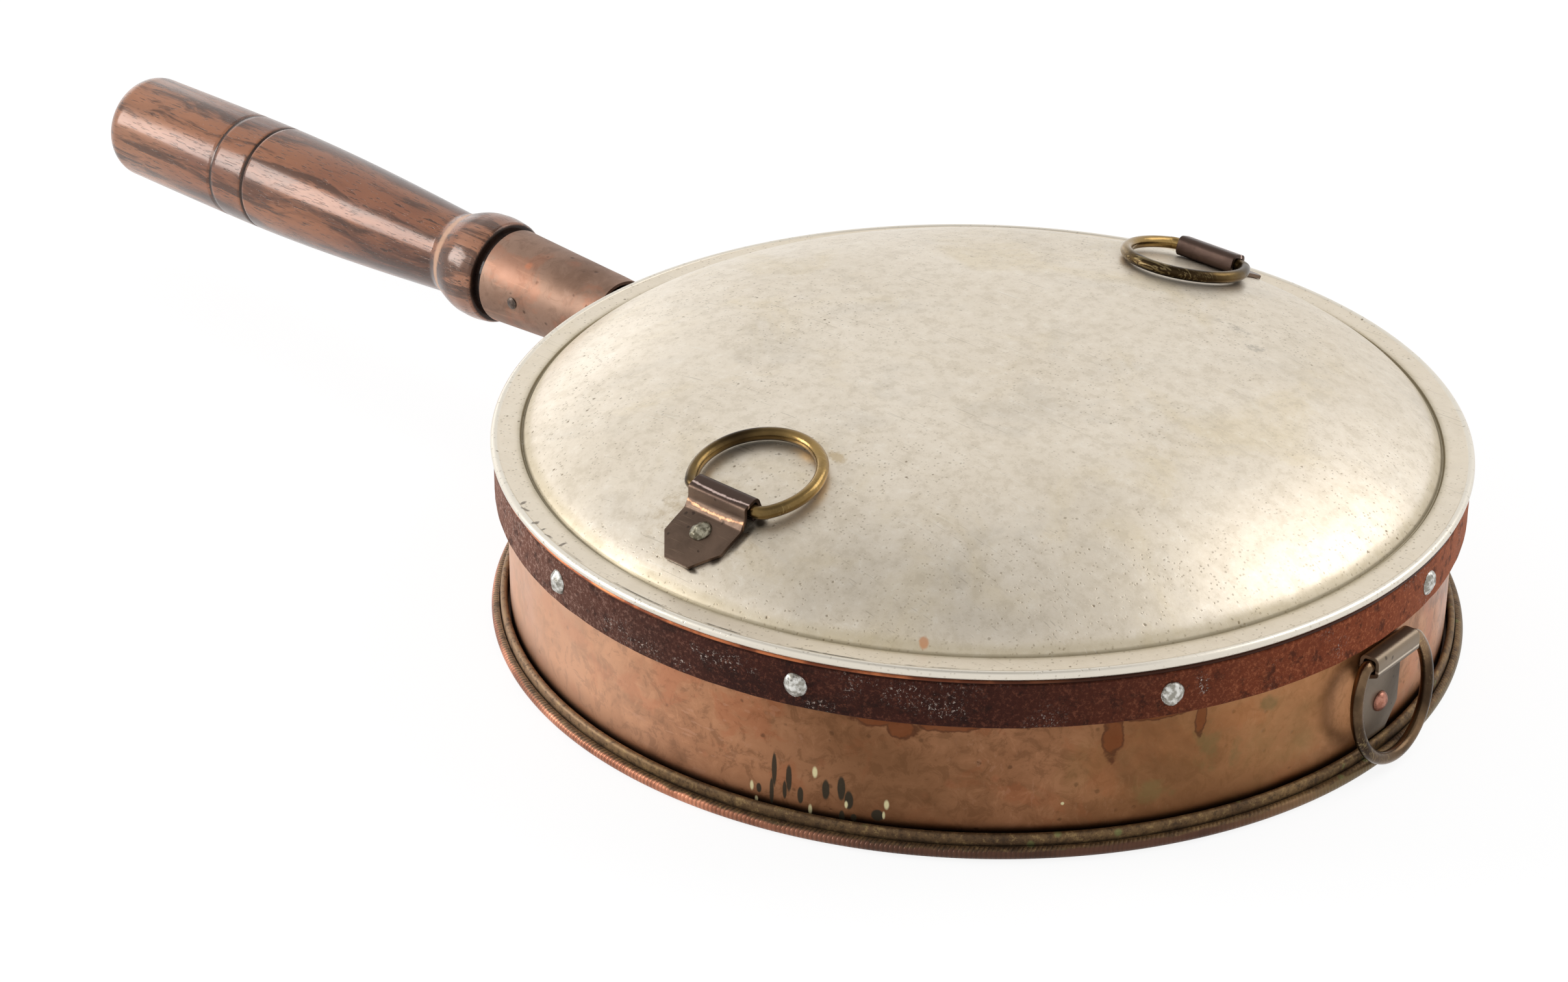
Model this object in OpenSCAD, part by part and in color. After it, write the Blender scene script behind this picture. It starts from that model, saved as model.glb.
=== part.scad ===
// Bed warming pan: a shallow copper drum with a wired foot and an iron hoop, a
// silvered domed lid that lifts off by two rings, a third ring low on the drum,
// and a turned hardwood handle in a copper ferrule.
// The drum stands on Z = 0 with its centre on the Z axis. The handle points to
// -X, the lid's rings lie towards -Y and +Y, and the drum's ring is near +X.

/* [Drum] */
// Outer radius of the copper wall
wall_r = 135.6; // [115:0.2:165]
// Thickness of the wall's copper sheet
wall_t = 1; // [0.8:0.1:1.6]
// Height of the turned-out top edge above the floor
drum_h = 53.7; // [48:0.1:80]
// Thickness of the base plate
base_t = 1; // [0.8:0.1:1.6]
// Radius of the rounding where the wall turns out at the top
edge_round = 1.2; // [0.8:0.1:2]

/* [Foot] */
// Height of the foot's crest, which stands round the wall
foot_h = 6.4; // [5:0.1:9]
// How far the foot stands out from the wall
foot_out = 5.6; // [5.4:0.1:8]
// Thickness of the foot's sheet
foot_t = 0.8; // [0.6:0.1:1]
// Radius of the rolled bead along the foot's edge
foot_bead_r = 1.7; // [1.5:0.1:2]
// Open seam between the wall and the foot's crest
foot_seam = 0.8; // [0.4:0.1:1]

/* [Iron hoop] */
// Height of the hoop
hoop_h = 13.3; // [11:0.1:15]
// Thickness of the hoop
hoop_t = 3.5; // [2.5:0.1:4.5]
// Broken edge of the hoop
hoop_chamfer = 0.5; // [0.2:0.1:0.8]

/* [Rivets] */
// Radius of the hoop rivets' domed heads
hoop_rivet_r = 3.3; // [2.6:0.1:4]
// Height of the hoop rivets' domed heads
hoop_rivet_h = 1.5; // [1:0.1:2]
// Radius of the tab rivets' domed heads
tab_rivet_r = 3.1; // [2.6:0.1:4]
// Height of the tab rivets' domed heads
tab_rivet_h = 1.9; // [1:0.1:2.4]
// Radius of every rivet's shank
shank_r = 1.6; // [1.2:0.1:2]
// Height of the peened tails
tail_h = 0.9; // [0.6:0.1:1.4]

/* [Lid] */
// How far the lid's bead stands out past the drum's turned-out edge
lid_overhang = 0.8; // [0:0.1:3]
// Thickness of the lid's sheet
lid_t = 0.7; // [0.5:0.1:0.9]
// Radius of the rolled bead along the lid's edge
lid_bead_r = 1.3; // [1.2:0.1:1.8]
// Height of the flat rim above the middle of its bead
rim_rise = 1; // [0.9:0.05:1.1]
// Width of the groove at the foot of the dome
groove_w = 1.2; // [0.8:0.1:2]
// Gap between the groove's underside and the collar round it
groove_gap = 0.2; // [0.1:0.1:2]
// Depth of the groove at the foot of the dome
groove_d = 0.7; // [0.3:0.1:1]
// Rise of the dome above the flat rim
dome_h = 26; // [18:0.5:36]
// Flatness of the dome's top, from 2 for a round top upwards
dome_flat = 3.2; // [2:0.1:4]
// Fullness of the dome's shoulder, from 1 for a plain one down to 0.5
dome_full = 0.8; // [0.5:0.05:0.95]
// Depth of the collar that keeps the lid centred in the drum
collar_h = 10; // [6:0.5:16]
// Gap between the collar and the rivets' tails inside the drum
collar_gap = 0.5; // [0.3:0.1:1.5]

/* [Rings] */
// Thickness of the rings' wire
wire_d = 3.6; // [2.8:0.1:4.4]
// Outer width of a ring
ring_w = 39.2; // [36:0.2:46]
// Length of a ring from the axis of its bar to its outer end
ring_l = 32.2; // [31:0.2:34]
// Inner bend of a ring where the bar meets the bow
bend_r = 3.8; // [3:0.1:4.4]
// Angle of the drum's ring, counted from the side opposite the handle
drum_ring_turn = 3; // [-10:1:10]
// Gap between the hoop and the knuckle of the drum's ring
drum_knuckle_drop = 2.9; // [0.5:0.1:5]

/* [Tabs] */
// Thickness of the tabs' sheet
tab_t = 1.2; // [0.8:0.1:1.6]
// Width of a tab, which is also the length of its knuckle
tab_w = 20.6; // [16:0.2:21]
// Width left at a tab's tip between the clipped corners
tip_w = 8.4; // [6:0.2:14]
// Length of the clipped corners
clip_l = 6.2; // [4:0.2:9]
// Length of a lid tab from its knuckle's axis to its tip, seen from above
lid_tab_l = 18.5; // [16:0.5:24]
// Distance from a lid tab's knuckle axis to its rivet, seen from above
lid_rivet_at = 9; // [8.6:0.2:12]
// Distance from a lid tab's tip to the foot of the dome
tab_inset = 5.4; // [4:0.1:10]
// Distance from the drum tab's knuckle axis to its rivet
drum_rivet_at = 16.2; // [11:0.2:18]
// Gap between the drum tab's tip and the foot's crest
drum_tab_gap = 0.4; // [0.3:0.1:4]

/* [Ferrule and tang] */
// Height of the handle's axis above the floor
handle_z = 41.8; // [38:0.1:48]
// Length of the ferrule
ferrule_l = 48; // [40:1:70]
// Outer radius of the ferrule at the drum's end
ferrule_r1 = 12.8; // [11:0.1:14]
// Outer radius of the ferrule at the handle's end
ferrule_r2 = 15.1; // [14.5:0.1:17]
// Thickness of the ferrule's sheet
ferrule_t = 1; // [0.8:0.1:1.4]
// Gap between the hoop and the ferrule
ferrule_gap = 5.4; // [4.5:0.1:9]
// Width of the tang's plate along the hoop
plate_w = 48; // [44:1:60]
// Thickness of the tang's plate
plate_t = 3; // [2:0.1:4]
// Distance from each end of the plate to its rivet
plate_rivet_in = 5.5; // [4.5:0.5:8]
// Radius of the tang's shoulder where it springs from the plate
shoulder_r = 9; // [8:0.5:11]
// Length over which the shoulder tapers to the bar
shoulder_l = 9; // [6:0.5:14]
// Thickness of the tang's bar
tang_t = 7; // [5:0.5:9]
// Width of the tang's bar at its root
tang_w = 14; // [10:0.5:16]
// Width of the tang's bar at its tip
tang_tip_w = 6.3; // [5:0.1:9]
// Length of the tang's bar from the hoop to its tip
tang_l = 92; // [75:1:110]
// Distance from the ferrule's open end to its two nails
nail_at = 14.4; // [8:0.2:20]
// Radius of a nail's head
nail_head_r = 1.9; // [1.4:0.1:2.4]
// Radius of a nail's shank
nail_r = 1.1; // [0.8:0.1:1.4]
// Length of a nail
nail_l = 6; // [5:0.5:8]

/* [Handle] */
// Length of the handle from the face of its collar to the butt
handle_l = 182; // [150:1:260]
// Length of the spigot inside the ferrule
spigot_l = 30; // [22:1:38]
// Open gap between the ferrule and the collar
spigot_gap = 2.6; // [1:0.1:5]
// Length of the collar from its face to the bottom of the neck
collar_l = 22; // [17:0.5:30]
// Largest radius of the collar
collar_r = 17.1; // [16.8:0.1:20]
// Rounding of the collar's edge next to the ferrule
collar_edge = 1.6; // [0.8:0.1:3]
// Length of the collar before it starts to fall to the neck
collar_flat = 8.8; // [5:0.1:14]
// Radius of the neck behind the collar
neck_r = 13.2; // [11:0.1:15]
// Largest radius of the grip
grip_r = 17.6; // [16:0.1:21]
// Distance from the butt to the point where the grip is thickest
swell_at = 62; // [50:1:75]
// Distance from the butt to the nearer turned line
line_at = 58; // [40:1:70]
// Distance between the two turned lines
line_gap = 15.4; // [8:0.1:20]
// Width of a turned line
line_w = 1.4; // [0.8:0.1:2]
// Depth of a turned line
line_d = 0.7; // [0.3:0.1:1.2]
// Radius of the grip at the butt, before its rounding
butt_r = 17.3; // [14:0.1:21]
// Rounding of the butt
butt_round = 7; // [4:0.5:10]

/* [Hidden] */

$fn = 96;
fine = 48;
// Seat clearance between fixed pieces, and running clearance of a ring's bar
seat = 0.05;
run = 0.08;
// Gap under a ring, and under the lid, where each rests and moves away
rest = 0.3;
lid_rest = 0.2;
// Where a ring's bow and bar enter its bends: the angle and the length by which
// each laps in, and how much fuller the bends are
bow_lap = 1.2;
bar_lap = 0.3;
bend_full = 0.04;
// Bevel at the spigot's end, and how far the collar stands lower than its
// largest radius at its edge and where it starts to fall
spigot_edge = 1;
collar_bulge = 0.5;
collar_fall = 0.3;
// Bevel of the ferrule's outer edge next to the collar
ferrule_bevel = 0.4;
// Height of a nail's head, and how far it stands off the ferrule's cone
nail_head_h = 0.6;
nail_proud = 0.15;
// Margin of the tang's plate above and below, within the hoop
plate_in = 0.5;
// Angles on the beads at which each curl ends
foot_curl = 115;
lid_curl = -150;
// Slope of the groove's sides, measured across
groove_side = 0.2;
// Ramp by which a tab's strap rises to its knuckle: its length, the bulge of
// its upper face, and the turn at which it leaves the knuckle
ramp_l = 3.2;
ramp_bulge = [0.9, 0.5];
ramp_turn = 20;
// Extra length that carries a cut clear of the faces it cuts, the depth of a
// rivet's hole past its seat, and the lap where two forms of one piece meet
over = 1;
hole_l = 4;
lap = 0.2;

// Drum, hoop and foot
hoop_top = drum_h - wall_t;
hoop_z = hoop_top - hoop_h;
hoop_r = wall_r + seat + hoop_t;
edge_r = hoop_r + seat;
foot_r = wall_r + foot_out;
foot_c = [foot_r - foot_bead_r, foot_bead_r + seat];
base_r = foot_c.x - foot_bead_r - seat;
leg_r = wall_r + foot_seam;
crest_r = (foot_c.x - foot_bead_r - leg_r - foot_t) / 2;
inner_r = wall_r - wall_t;

// Lid
lid_r = edge_r + lid_overhang;
lid_c = [lid_r - lid_bead_r, drum_h + lid_rest + lid_bead_r];
rim_z = lid_c.y + rim_rise;
crease_out = 180 - asin(rim_rise / lid_bead_r);
crease_in = 180 - asin((rim_rise - lid_t) / (lid_bead_r - lid_t));
collar_out = inner_r - tail_h - collar_gap;
dome_r = collar_out - 2 * lid_t - groove_gap - groove_w;

// Rings and tabs
wire_r = wire_d / 2;
eye_r = wire_r + run;
knuckle_r = eye_r + tab_t;
bow_r = ring_w / 2 - wire_r;
bow_x = ring_l - wire_r - bow_r;
bar_half = sqrt(pow(bow_r - bend_r, 2) - pow(bow_x - bend_r, 2));
bow_turn = atan2(bar_half, bend_r - bow_x);
reach = ring_l - wire_r;
tail_r = 0.75 * tab_rivet_r;

lid_tip_r = dome_r - tab_inset;
lid_bar_r = lid_tip_r - lid_tab_l;
lid_bar_z = dome_z(lid_bar_r) + (knuckle_r + seat) / cos(dome_slope(lid_bar_r));
bow_end_r = lid_bar_r - reach;
bow_end_z = dome_z(bow_end_r) + (wire_r + rest) / cos(dome_slope(bow_end_r));
lid_ring_tilt = asin((bow_end_z - lid_bar_z) / reach);
lid_rivet_r = lid_bar_r + lid_rivet_at;

drum_bar_r = wall_r + seat + knuckle_r;
drum_bar_z = hoop_z - drum_knuckle_drop - knuckle_r;
drum_tab_l = drum_bar_z - foot_h - drum_tab_gap;
drum_rivet_z = drum_bar_z - drum_rivet_at;
// The drum's ring leans on the foot if it reaches down to it, and else hangs straight
drum_ring_tilt = drum_bar_z - reach < foot_h ? asin((foot_r + wire_r + rest - drum_bar_r) / reach) : 0;

// Handle, measured outwards along -X from the drum's axis
ferrule_x = hoop_r + ferrule_gap;
ferrule_end = ferrule_x + ferrule_l;
collar_x = ferrule_end + spigot_gap;
neck_x = collar_x + collar_l;
butt_x = collar_x + handle_l;
swell_x = butt_x - swell_at;
nail_x = ferrule_end - nail_at;
tang_r = hoop_r + seat;

// Places of the hoop's rivets round the drum, as the smith spaced them
hoop_rivet_turns = [11, 51, 91, 131, 215, 255, 290, 331];
// Turn of the tang's two rivets each way from the handle's axis
tang_rivet_turn = asin((plate_w / 2 - plate_rivet_in) / hoop_r);

copper = "#8f5f3f";
old_brass = "#8a7340";
bronze = "#5d4c3c";
silver = "#ddd2bd";
iron = "#5b3226";
steel = "#b5b0a6";
rosewood = "#7a5044";

// Points along an arc of radius r round c, from angle a to angle b
function arc(c, r, a, b, n = 12) =
    [for (i = [0 : n]) c + r * [cos(a + (b - a) * i / n), sin(a + (b - a) * i / n)]];

// The dome's height at a radius, the rate at which it falls there and its slope
function dome_z(r) = rim_z + dome_h * pow(1 - pow(r / dome_r, dome_flat), dome_full);
function dome_fall(r) =
    dome_h / dome_r * dome_full * dome_flat * pow(r / dome_r, dome_flat - 1)
        * pow(1 - pow(r / dome_r, dome_flat), dome_full - 1);
function dome_slope(r) = atan(dome_fall(r));

// The dome's section from its foot to its top, moved outwards by off
function dome_point(r, off) =
    [r, dome_z(r)] + off / norm([dome_fall(r), 1]) * [dome_fall(r), 1];
function dome_arc(off, n = 32) =
    concat([[dome_r + off, rim_z]], [for (i = [1 : n - 1]) dome_point(dome_r * cos(90 * i / n), off)],
           [[0, rim_z + dome_h + off]]);

function reversed(list) = [for (i = [len(list) - 1 : -1 : 0]) list[i]];

// Radius of the ferrule at a distance x from the drum's axis
function ferrule_r(x) = ferrule_r1 + (ferrule_r2 - ferrule_r1) * (x - ferrule_x) / ferrule_l;

// Solid of revolution about the handle's axis; x runs outwards, y is the radius
module turned(points) {
    translate([0, 0, handle_z])
        rotate([0, -90, 0])
            rotate_extrude()
                polygon([for (p = points) [p.y, p.x]]);
}

// Rivet with its seat at Z = 0, its domed head above and its peened tail
// below a grip of the given length
module rivet(head_r, head_h, grip) {
    cap(head_r, head_h);
    translate([0, 0, -grip - lap])
        cylinder(r = shank_r, h = grip + 2 * lap, $fn = fine);
    translate([0, 0, -grip])
        mirror([0, 0, 1])
            cap(tail_r, tail_h);
}

// Spherical cap of radius r and height h standing on Z = 0
module cap(r, h) {
    ball = (r * r + h * h) / (2 * h);
    intersection() {
        translate([0, 0, h - ball])
            sphere(r = ball, $fn = fine);
        cylinder(r = r, h = h + over, $fn = fine);
    }
}

// Shank hole through whatever the rivet passes, from above its seat
module shank_hole(depth) {
    translate([0, 0, -depth])
        cylinder(r = shank_r + seat, h = depth + hole_l, $fn = fine);
}

// Puts children on the drum's side at a turn round the axis, Z pointing out
module on_side(turn, r, z) {
    rotate([0, 0, turn])
        translate([r, 0, z])
            rotate([0, 90, 0])
                children();
}

// Wire ring in the XY plane: its bar runs along Y through the origin and its
// bow lies towards -X
module wire_ring() {
    translate([-bow_x, 0, 0])
        rotate([0, 0, 180 - bow_turn - bow_lap])
            rotate_extrude(angle = 2 * (bow_turn + bow_lap))
                translate([bow_r, 0])
                    circle(r = wire_r, $fn = 24);
    translate([-bend_r, bar_half, 0])
        ring_bend();
    translate([-bend_r, -bar_half, 0])
        rotate([0, 0, bow_turn - 180])
            ring_bend();
    rotate([90, 0, 0])
        cylinder(r = wire_r, h = 2 * (bar_half + bar_lap), center = true, $fn = 24);
}

// A bend between bar and bow, a trace fuller than the wire that enters it
module ring_bend() {
    rotate_extrude(angle = 180 - bow_turn, $fn = fine)
        translate([bend_r, 0])
            circle(r = wire_r + bend_full, $fn = 24);
}

// Outline of a tab in the XY plane, its tip towards +X
module tab_outline(length) {
    polygon([[0, -tab_w / 2], [length - clip_l, -tab_w / 2], [length, -tip_w / 2],
             [length, tip_w / 2], [length - clip_l, tab_w / 2], [0, tab_w / 2]]);
}

// The tab's rolled knuckle along Y through the origin, with the ramp by which
// the strap rises to it from a sheet that lies drop below the axis
module knuckle(drop) {
    foot_x = knuckle_r + ramp_l;
    rotate([90, 0, 0]) {
        cylinder(r = knuckle_r, h = tab_w, center = true, $fn = fine);
        linear_extrude(tab_w, center = true)
            polygon([[0, -knuckle_r], [knuckle_r * cos(ramp_turn), -knuckle_r * sin(ramp_turn)],
                     [knuckle_r, tab_t - drop] + ramp_bulge, [foot_x, tab_t - drop], [foot_x, -drop]]);
    }
}

module knuckle_bore() {
    rotate([90, 0, 0])
        cylinder(r = eye_r, h = tab_w + 2 * over, center = true, $fn = fine);
}

// Everything under the dome's outer face, or off above it
module dome_fill(off) {
    rotate_extrude()
        polygon(concat([[0, rim_z - over], [dome_r + off, rim_z - over]], dome_arc(off)));
}

module base_plate() {
    color(copper)
        cylinder(r = base_r, h = base_t);
}

module drum_wall() {
    color(copper)
        difference() {
            rotate_extrude()
                polygon(concat([[wall_r, base_t], [wall_r, hoop_top], [edge_r, hoop_top], [edge_r, drum_h]],
                               arc([inner_r + edge_round, drum_h - edge_round], edge_round, 90, 180, 5),
                               [[inner_r, base_t]]));
            side_holes();
        }
}

// Holes for every rivet that passes through the drum's side
module side_holes() {
    for (turn = hoop_rivet_turns)
        on_side(turn, hoop_r, hoop_z + hoop_h / 2)
            shank_hole(hoop_t + hole_l);
    for (side = [-1, 1])
        on_side(180 + side * tang_rivet_turn, hoop_r, hoop_z + hoop_h / 2)
            shank_hole(hoop_t + hole_l);
    on_side(drum_ring_turn, wall_r, drum_rivet_z)
        shank_hole(hole_l);
}

// The foot stands on the base plate's edge, rises round the wall to a crest,
// falls again and is rolled under and over its wire
module foot_rim() {
    crest_c = [leg_r + foot_t + crest_r, foot_h - foot_t - crest_r];
    color(copper)
        rotate_extrude()
            polygon(concat([[leg_r, base_t + seat]], arc(crest_c, crest_r + foot_t, 180, 0, 10),
                           arc(foot_c, foot_bead_r - foot_t, -180, foot_curl, 20),
                           arc(foot_c, foot_bead_r, foot_curl, -180, 20),
                           arc(crest_c, crest_r, 0, 180, 6), [[leg_r + foot_t, base_t + seat]]));
}

module foot_wire() {
    color(steel)
        rotate_extrude()
            translate(foot_c)
                circle(r = foot_bead_r - foot_t - seat, $fn = 16);
}

module iron_hoop() {
    inner = wall_r + seat;
    low = hoop_z;
    high = hoop_top;
    c = hoop_chamfer;
    color(iron)
        difference() {
            rotate_extrude()
                polygon([[inner, low], [hoop_r - c, low], [hoop_r, low + c],
                         [hoop_r, high - c], [hoop_r - c, high], [inner, high]]);
            side_holes();
        }
}

module hoop_rivets() {
    color(steel)
        for (turn = hoop_rivet_turns)
            on_side(turn, hoop_r + seat, hoop_z + hoop_h / 2)
                rivet(hoop_rivet_r, hoop_rivet_h, hoop_t + wall_t + 3 * seat);
}

// Iron tang: a plate bent to the hoop, a round shoulder and a bar that tapers
// through the ferrule into the handle
module tang() {
    face = tang_r + plate_t;
    color(iron)
        difference() {
            union() {
                intersection() {
                    cylinder(r = face, h = hoop_top);
                    translate([-face - over, -plate_w / 2, hoop_z + plate_in])
                        cube([tang_r, plate_w, hoop_h - 2 * plate_in]);
                }
                intersection() {
                    translate([-tang_r, 0, handle_z])
                        rotate([0, -90, 0])
                            cylinder(r1 = shoulder_r, r2 = tang_w / 2, h = plate_t + shoulder_l);
                    translate([0, 0, hoop_z - hoop_h])
                        cylinder(r = 2 * face, h = 2 * hoop_h - plate_in);
                }
                tang_bar(0, 0);
            }
            cylinder(r = tang_r, h = hoop_top + over);
            for (side = [-1, 1])
                on_side(180 + side * tang_rivet_turn, tang_r, hoop_z + hoop_h / 2)
                    shank_hole(hole_l);
        }
}

// The tang's bar, grown by a clearance all round and lengthened for its hole
module tang_bar(clear, longer) {
    root = tang_r - over;
    tip = tang_r + tang_l + longer;
    translate([0, 0, handle_z - tang_t / 2 - clear])
        linear_extrude(tang_t + 2 * clear)
            polygon([[-root, -tang_w / 2 - clear], [-tip, -tang_tip_w / 2 - clear],
                     [-tip, tang_tip_w / 2 + clear], [-root, tang_w / 2 + clear]]);
}

module tang_rivets() {
    color(copper)
        for (side = [-1, 1])
            on_side(180 + side * tang_rivet_turn, tang_r + plate_t + seat, hoop_z + hoop_h / 2)
                rivet(hoop_rivet_r, hoop_rivet_h, plate_t + hoop_t + wall_t + 4 * seat);
}

module ferrule() {
    color(copper)
        difference() {
            turned([[ferrule_x, ferrule_r1 - ferrule_t], [ferrule_x, ferrule_r1],
                    [ferrule_end - ferrule_bevel, ferrule_r2], [ferrule_end, ferrule_r2 - ferrule_bevel],
                    [ferrule_end, ferrule_r2 - ferrule_t]]);
            ferrule_nail_places()
                shank_hole(nail_l);
        }
}

// Places of the two nails, one each side, Z pointing out of the ferrule
module ferrule_nail_places() {
    for (side = [-1, 1])
        translate([-nail_x, side * ferrule_r(nail_x), handle_z])
            rotate([-90 * side, 0, 0])
                children();
}

module ferrule_nails() {
    color(steel)
        ferrule_nail_places() {
            translate([0, 0, nail_proud])
                cap(nail_head_r, nail_head_h);
            translate([0, 0, -nail_l])
                cylinder(r = nail_r, h = nail_l + nail_proud + lap, $fn = fine);
        }
}

// Profile of the turned handle: spigot, collar, neck, swelling grip with two
// turned lines, and rounded butt
module handle_grip() {
    spigot_x = ferrule_end - spigot_l;
    lines = [butt_x - line_at - line_gap, butt_x - line_at];
    grip_points = [for (i = [1 : 16]) [neck_x + (swell_x - neck_x) * i / 16, grip_at(i / 16)]];
    color(rosewood)
        difference() {
            turned(concat([[spigot_x, 0], [spigot_x, spigot_r(spigot_x) - spigot_edge],
                           [spigot_x + spigot_edge, spigot_r(spigot_x + spigot_edge)],
                           [collar_x, spigot_r(ferrule_end)]],
                          collar_points(), cut_lines(grip_points, lines),
                          reversed(butt_points()), [[butt_x, 0]]));
            tang_bar(seat, over);
            ferrule_nail_places()
                translate([0, 0, -nail_l - over])
                    cylinder(r = nail_r + seat, h = 2 * nail_l, $fn = fine);
        }
}

// Radius of the spigot inside the ferrule
function spigot_r(x) = ferrule_r(x) - ferrule_t - seat;

// Radius of the grip at a share t of the way from the neck to the swell
function grip_at(t) = neck_r + (grip_r - neck_r) * sin(90 * t);

// The collar: rounded at the ferrule's end, then a long fall to the neck
function collar_points() =
    let (rise = collar_r - collar_fall, top = collar_r - collar_bulge, run_l = collar_l - collar_flat)
    concat([for (i = [0 : 4]) [collar_x + collar_edge * (1 - cos(22.5 * i)),
                               top - collar_edge * (1 - sin(22.5 * i))]],
           [[collar_x + collar_flat / 2, collar_r]],
           [for (i = [0 : 8]) [collar_x + collar_flat + run_l * i / 8.5,
                               neck_r + (rise - neck_r) * pow(cos(90 * i / 8.5), 0.8)]],
           [[neck_x, neck_r]]);

// The butt's rounding, from the end face outwards
function butt_points() =
    [for (i = [0 : 6]) [butt_x - butt_round * (1 - cos(15 * i)), butt_r - butt_round * (1 - sin(15 * i))]];

// Adds a V-shaped line at each x to a run of profile points
function cut_lines(points, lines) =
    let (last = points[len(points) - 1].x)
    concat([for (p = points) if (p.x < lines[0] - line_w) p],
           [for (x = lines) each [[x - line_w / 2, line_r(x)], [x, line_r(x) - line_d],
                                  [x + line_w / 2, line_r(x)]]],
           [for (p = points) if (p.x > lines[1] + line_w) p]);
function line_r(x) = x < swell_x ? grip_at((x - neck_x) / (swell_x - neck_x)) : grip_r;

// Strap tab riveted to the drum's wall, its knuckle just under the hoop
module drum_tab() {
    color(bronze)
        rotate([0, 0, drum_ring_turn])
            difference() {
                union() {
                    intersection() {
                        cylinder(r = wall_r + seat + tab_t, h = hoop_z);
                        translate([0, 0, drum_bar_z])
                            rotate([0, 90, 0])
                                linear_extrude(2 * wall_r)
                                    tab_outline(drum_tab_l);
                    }
                    translate([drum_bar_r, 0, drum_bar_z])
                        rotate([0, 90, 0])
                            knuckle(knuckle_r);
                }
                translate([0, 0, -1])
                    cylinder(r = wall_r + seat, h = drum_h + 2);
                translate([drum_bar_r, 0, drum_bar_z])
                    knuckle_bore();
                translate([wall_r, 0, drum_rivet_z])
                    rotate([0, 90, 0])
                        shank_hole(hole_l);
            }
}

module drum_tab_rivet() {
    color(copper)
        on_side(drum_ring_turn, wall_r + tab_t + 2 * seat, drum_rivet_z)
            rivet(tab_rivet_r, tab_rivet_h, tab_t + wall_t + 3 * seat);
}

// The drum's ring hangs from its knuckle and leans out over the foot
module drum_ring() {
    color(old_brass)
        rotate([0, 0, drum_ring_turn])
            translate([drum_bar_r, 0, drum_bar_z])
                rotate([0, -90 - drum_ring_tilt, 0])
                    wire_ring();
}

// Lid in one sheet: dome, groove, flat rim and the edge rolled round its wire
module lid_dome() {
    under = rim_z - lid_t;
    color(silver)
        difference() {
            rotate_extrude()
                polygon(concat(reversed(dome_arc(0)),
                               [[dome_r + groove_side, rim_z - groove_d],
                                [dome_r + groove_w - groove_side, rim_z - groove_d],
                                [dome_r + groove_w, rim_z]],
                               arc(lid_c, lid_bead_r, crease_out, lid_curl, 22),
                               arc(lid_c, lid_bead_r - lid_t, lid_curl, crease_in, 22),
                               [[dome_r + groove_w + lid_t, under],
                                [dome_r + groove_w, under - groove_d], [dome_r - lid_t, under - groove_d]],
                               dome_arc(-lid_t)));
            lid_tab_places()
                lid_rivet_seat()
                    shank_hole(hole_l);
        }
}

// The two places of the lid's tabs, front and back, with X pointing outwards
module lid_tab_places() {
    for (turn = [-90, 90])
        rotate([0, 0, turn])
            children();
}

// Frame of a lid rivet, on the tab's outer face and square to the dome
module lid_rivet_seat() {
    translate([lid_rivet_r, 0, dome_z(lid_rivet_r)])
        rotate([0, dome_slope(lid_rivet_r), 0])
            translate([0, 0, tab_t + 2 * seat])
                children();
}

module lid_wire() {
    color(steel)
        rotate_extrude()
            translate(lid_c)
                circle(r = lid_bead_r - lid_t - seat, $fn = 16);
}

module lid_collar() {
    color(silver)
        translate([0, 0, rim_z - lid_t - seat - collar_h])
            difference() {
                cylinder(r = collar_out, h = collar_h);
                translate([0, 0, -1])
                    cylinder(r = collar_out - lid_t, h = collar_h + 2);
            }
}

// Strap tab bent to the dome, its knuckle towards the lid's centre
module lid_tab() {
    color(bronze)
        difference() {
            union() {
                intersection() {
                    dome_fill(seat + tab_t);
                    translate([lid_bar_r, 0, rim_z])
                        linear_extrude(dome_h + 10)
                            tab_outline(lid_tab_l);
                }
                translate([lid_bar_r, 0, lid_bar_z])
                    rotate([0, dome_slope(lid_bar_r + ramp_l), 0])
                        knuckle(knuckle_r);
            }
            dome_fill(seat);
            translate([lid_bar_r, 0, lid_bar_z])
                knuckle_bore();
            lid_rivet_seat()
                shank_hole(hole_l);
        }
}

module lid_tab_front() {
    rotate([0, 0, -90])
        lid_tab();
}

module lid_tab_back() {
    rotate([0, 0, 90])
        lid_tab();
}

module lid_tab_rivets() {
    color(steel)
        lid_tab_places()
            lid_rivet_seat()
                rivet(tab_rivet_r, tab_rivet_h, tab_t + lid_t + 4 * seat);
}

// A lid ring lies inwards on the dome and rises on its knuckle
module lid_ring() {
    color(old_brass)
        translate([lid_bar_r, 0, lid_bar_z])
            rotate([0, lid_ring_tilt, 0])
                wire_ring();
}

module lid_ring_front() {
    rotate([0, 0, -90])
        lid_ring();
}

module lid_ring_back() {
    rotate([0, 0, 90])
        lid_ring();
}

base_plate();
drum_wall();
foot_rim();
foot_wire();
iron_hoop();
hoop_rivets();
tang();
tang_rivets();
ferrule();
ferrule_nails();
handle_grip();
drum_tab();
drum_tab_rivet();
drum_ring();
lid_dome();
lid_wire();
lid_collar();
lid_tab_front();
lid_tab_back();
lid_tab_rivets();
lid_ring_front();
lid_ring_back();
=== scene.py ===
import math

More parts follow.
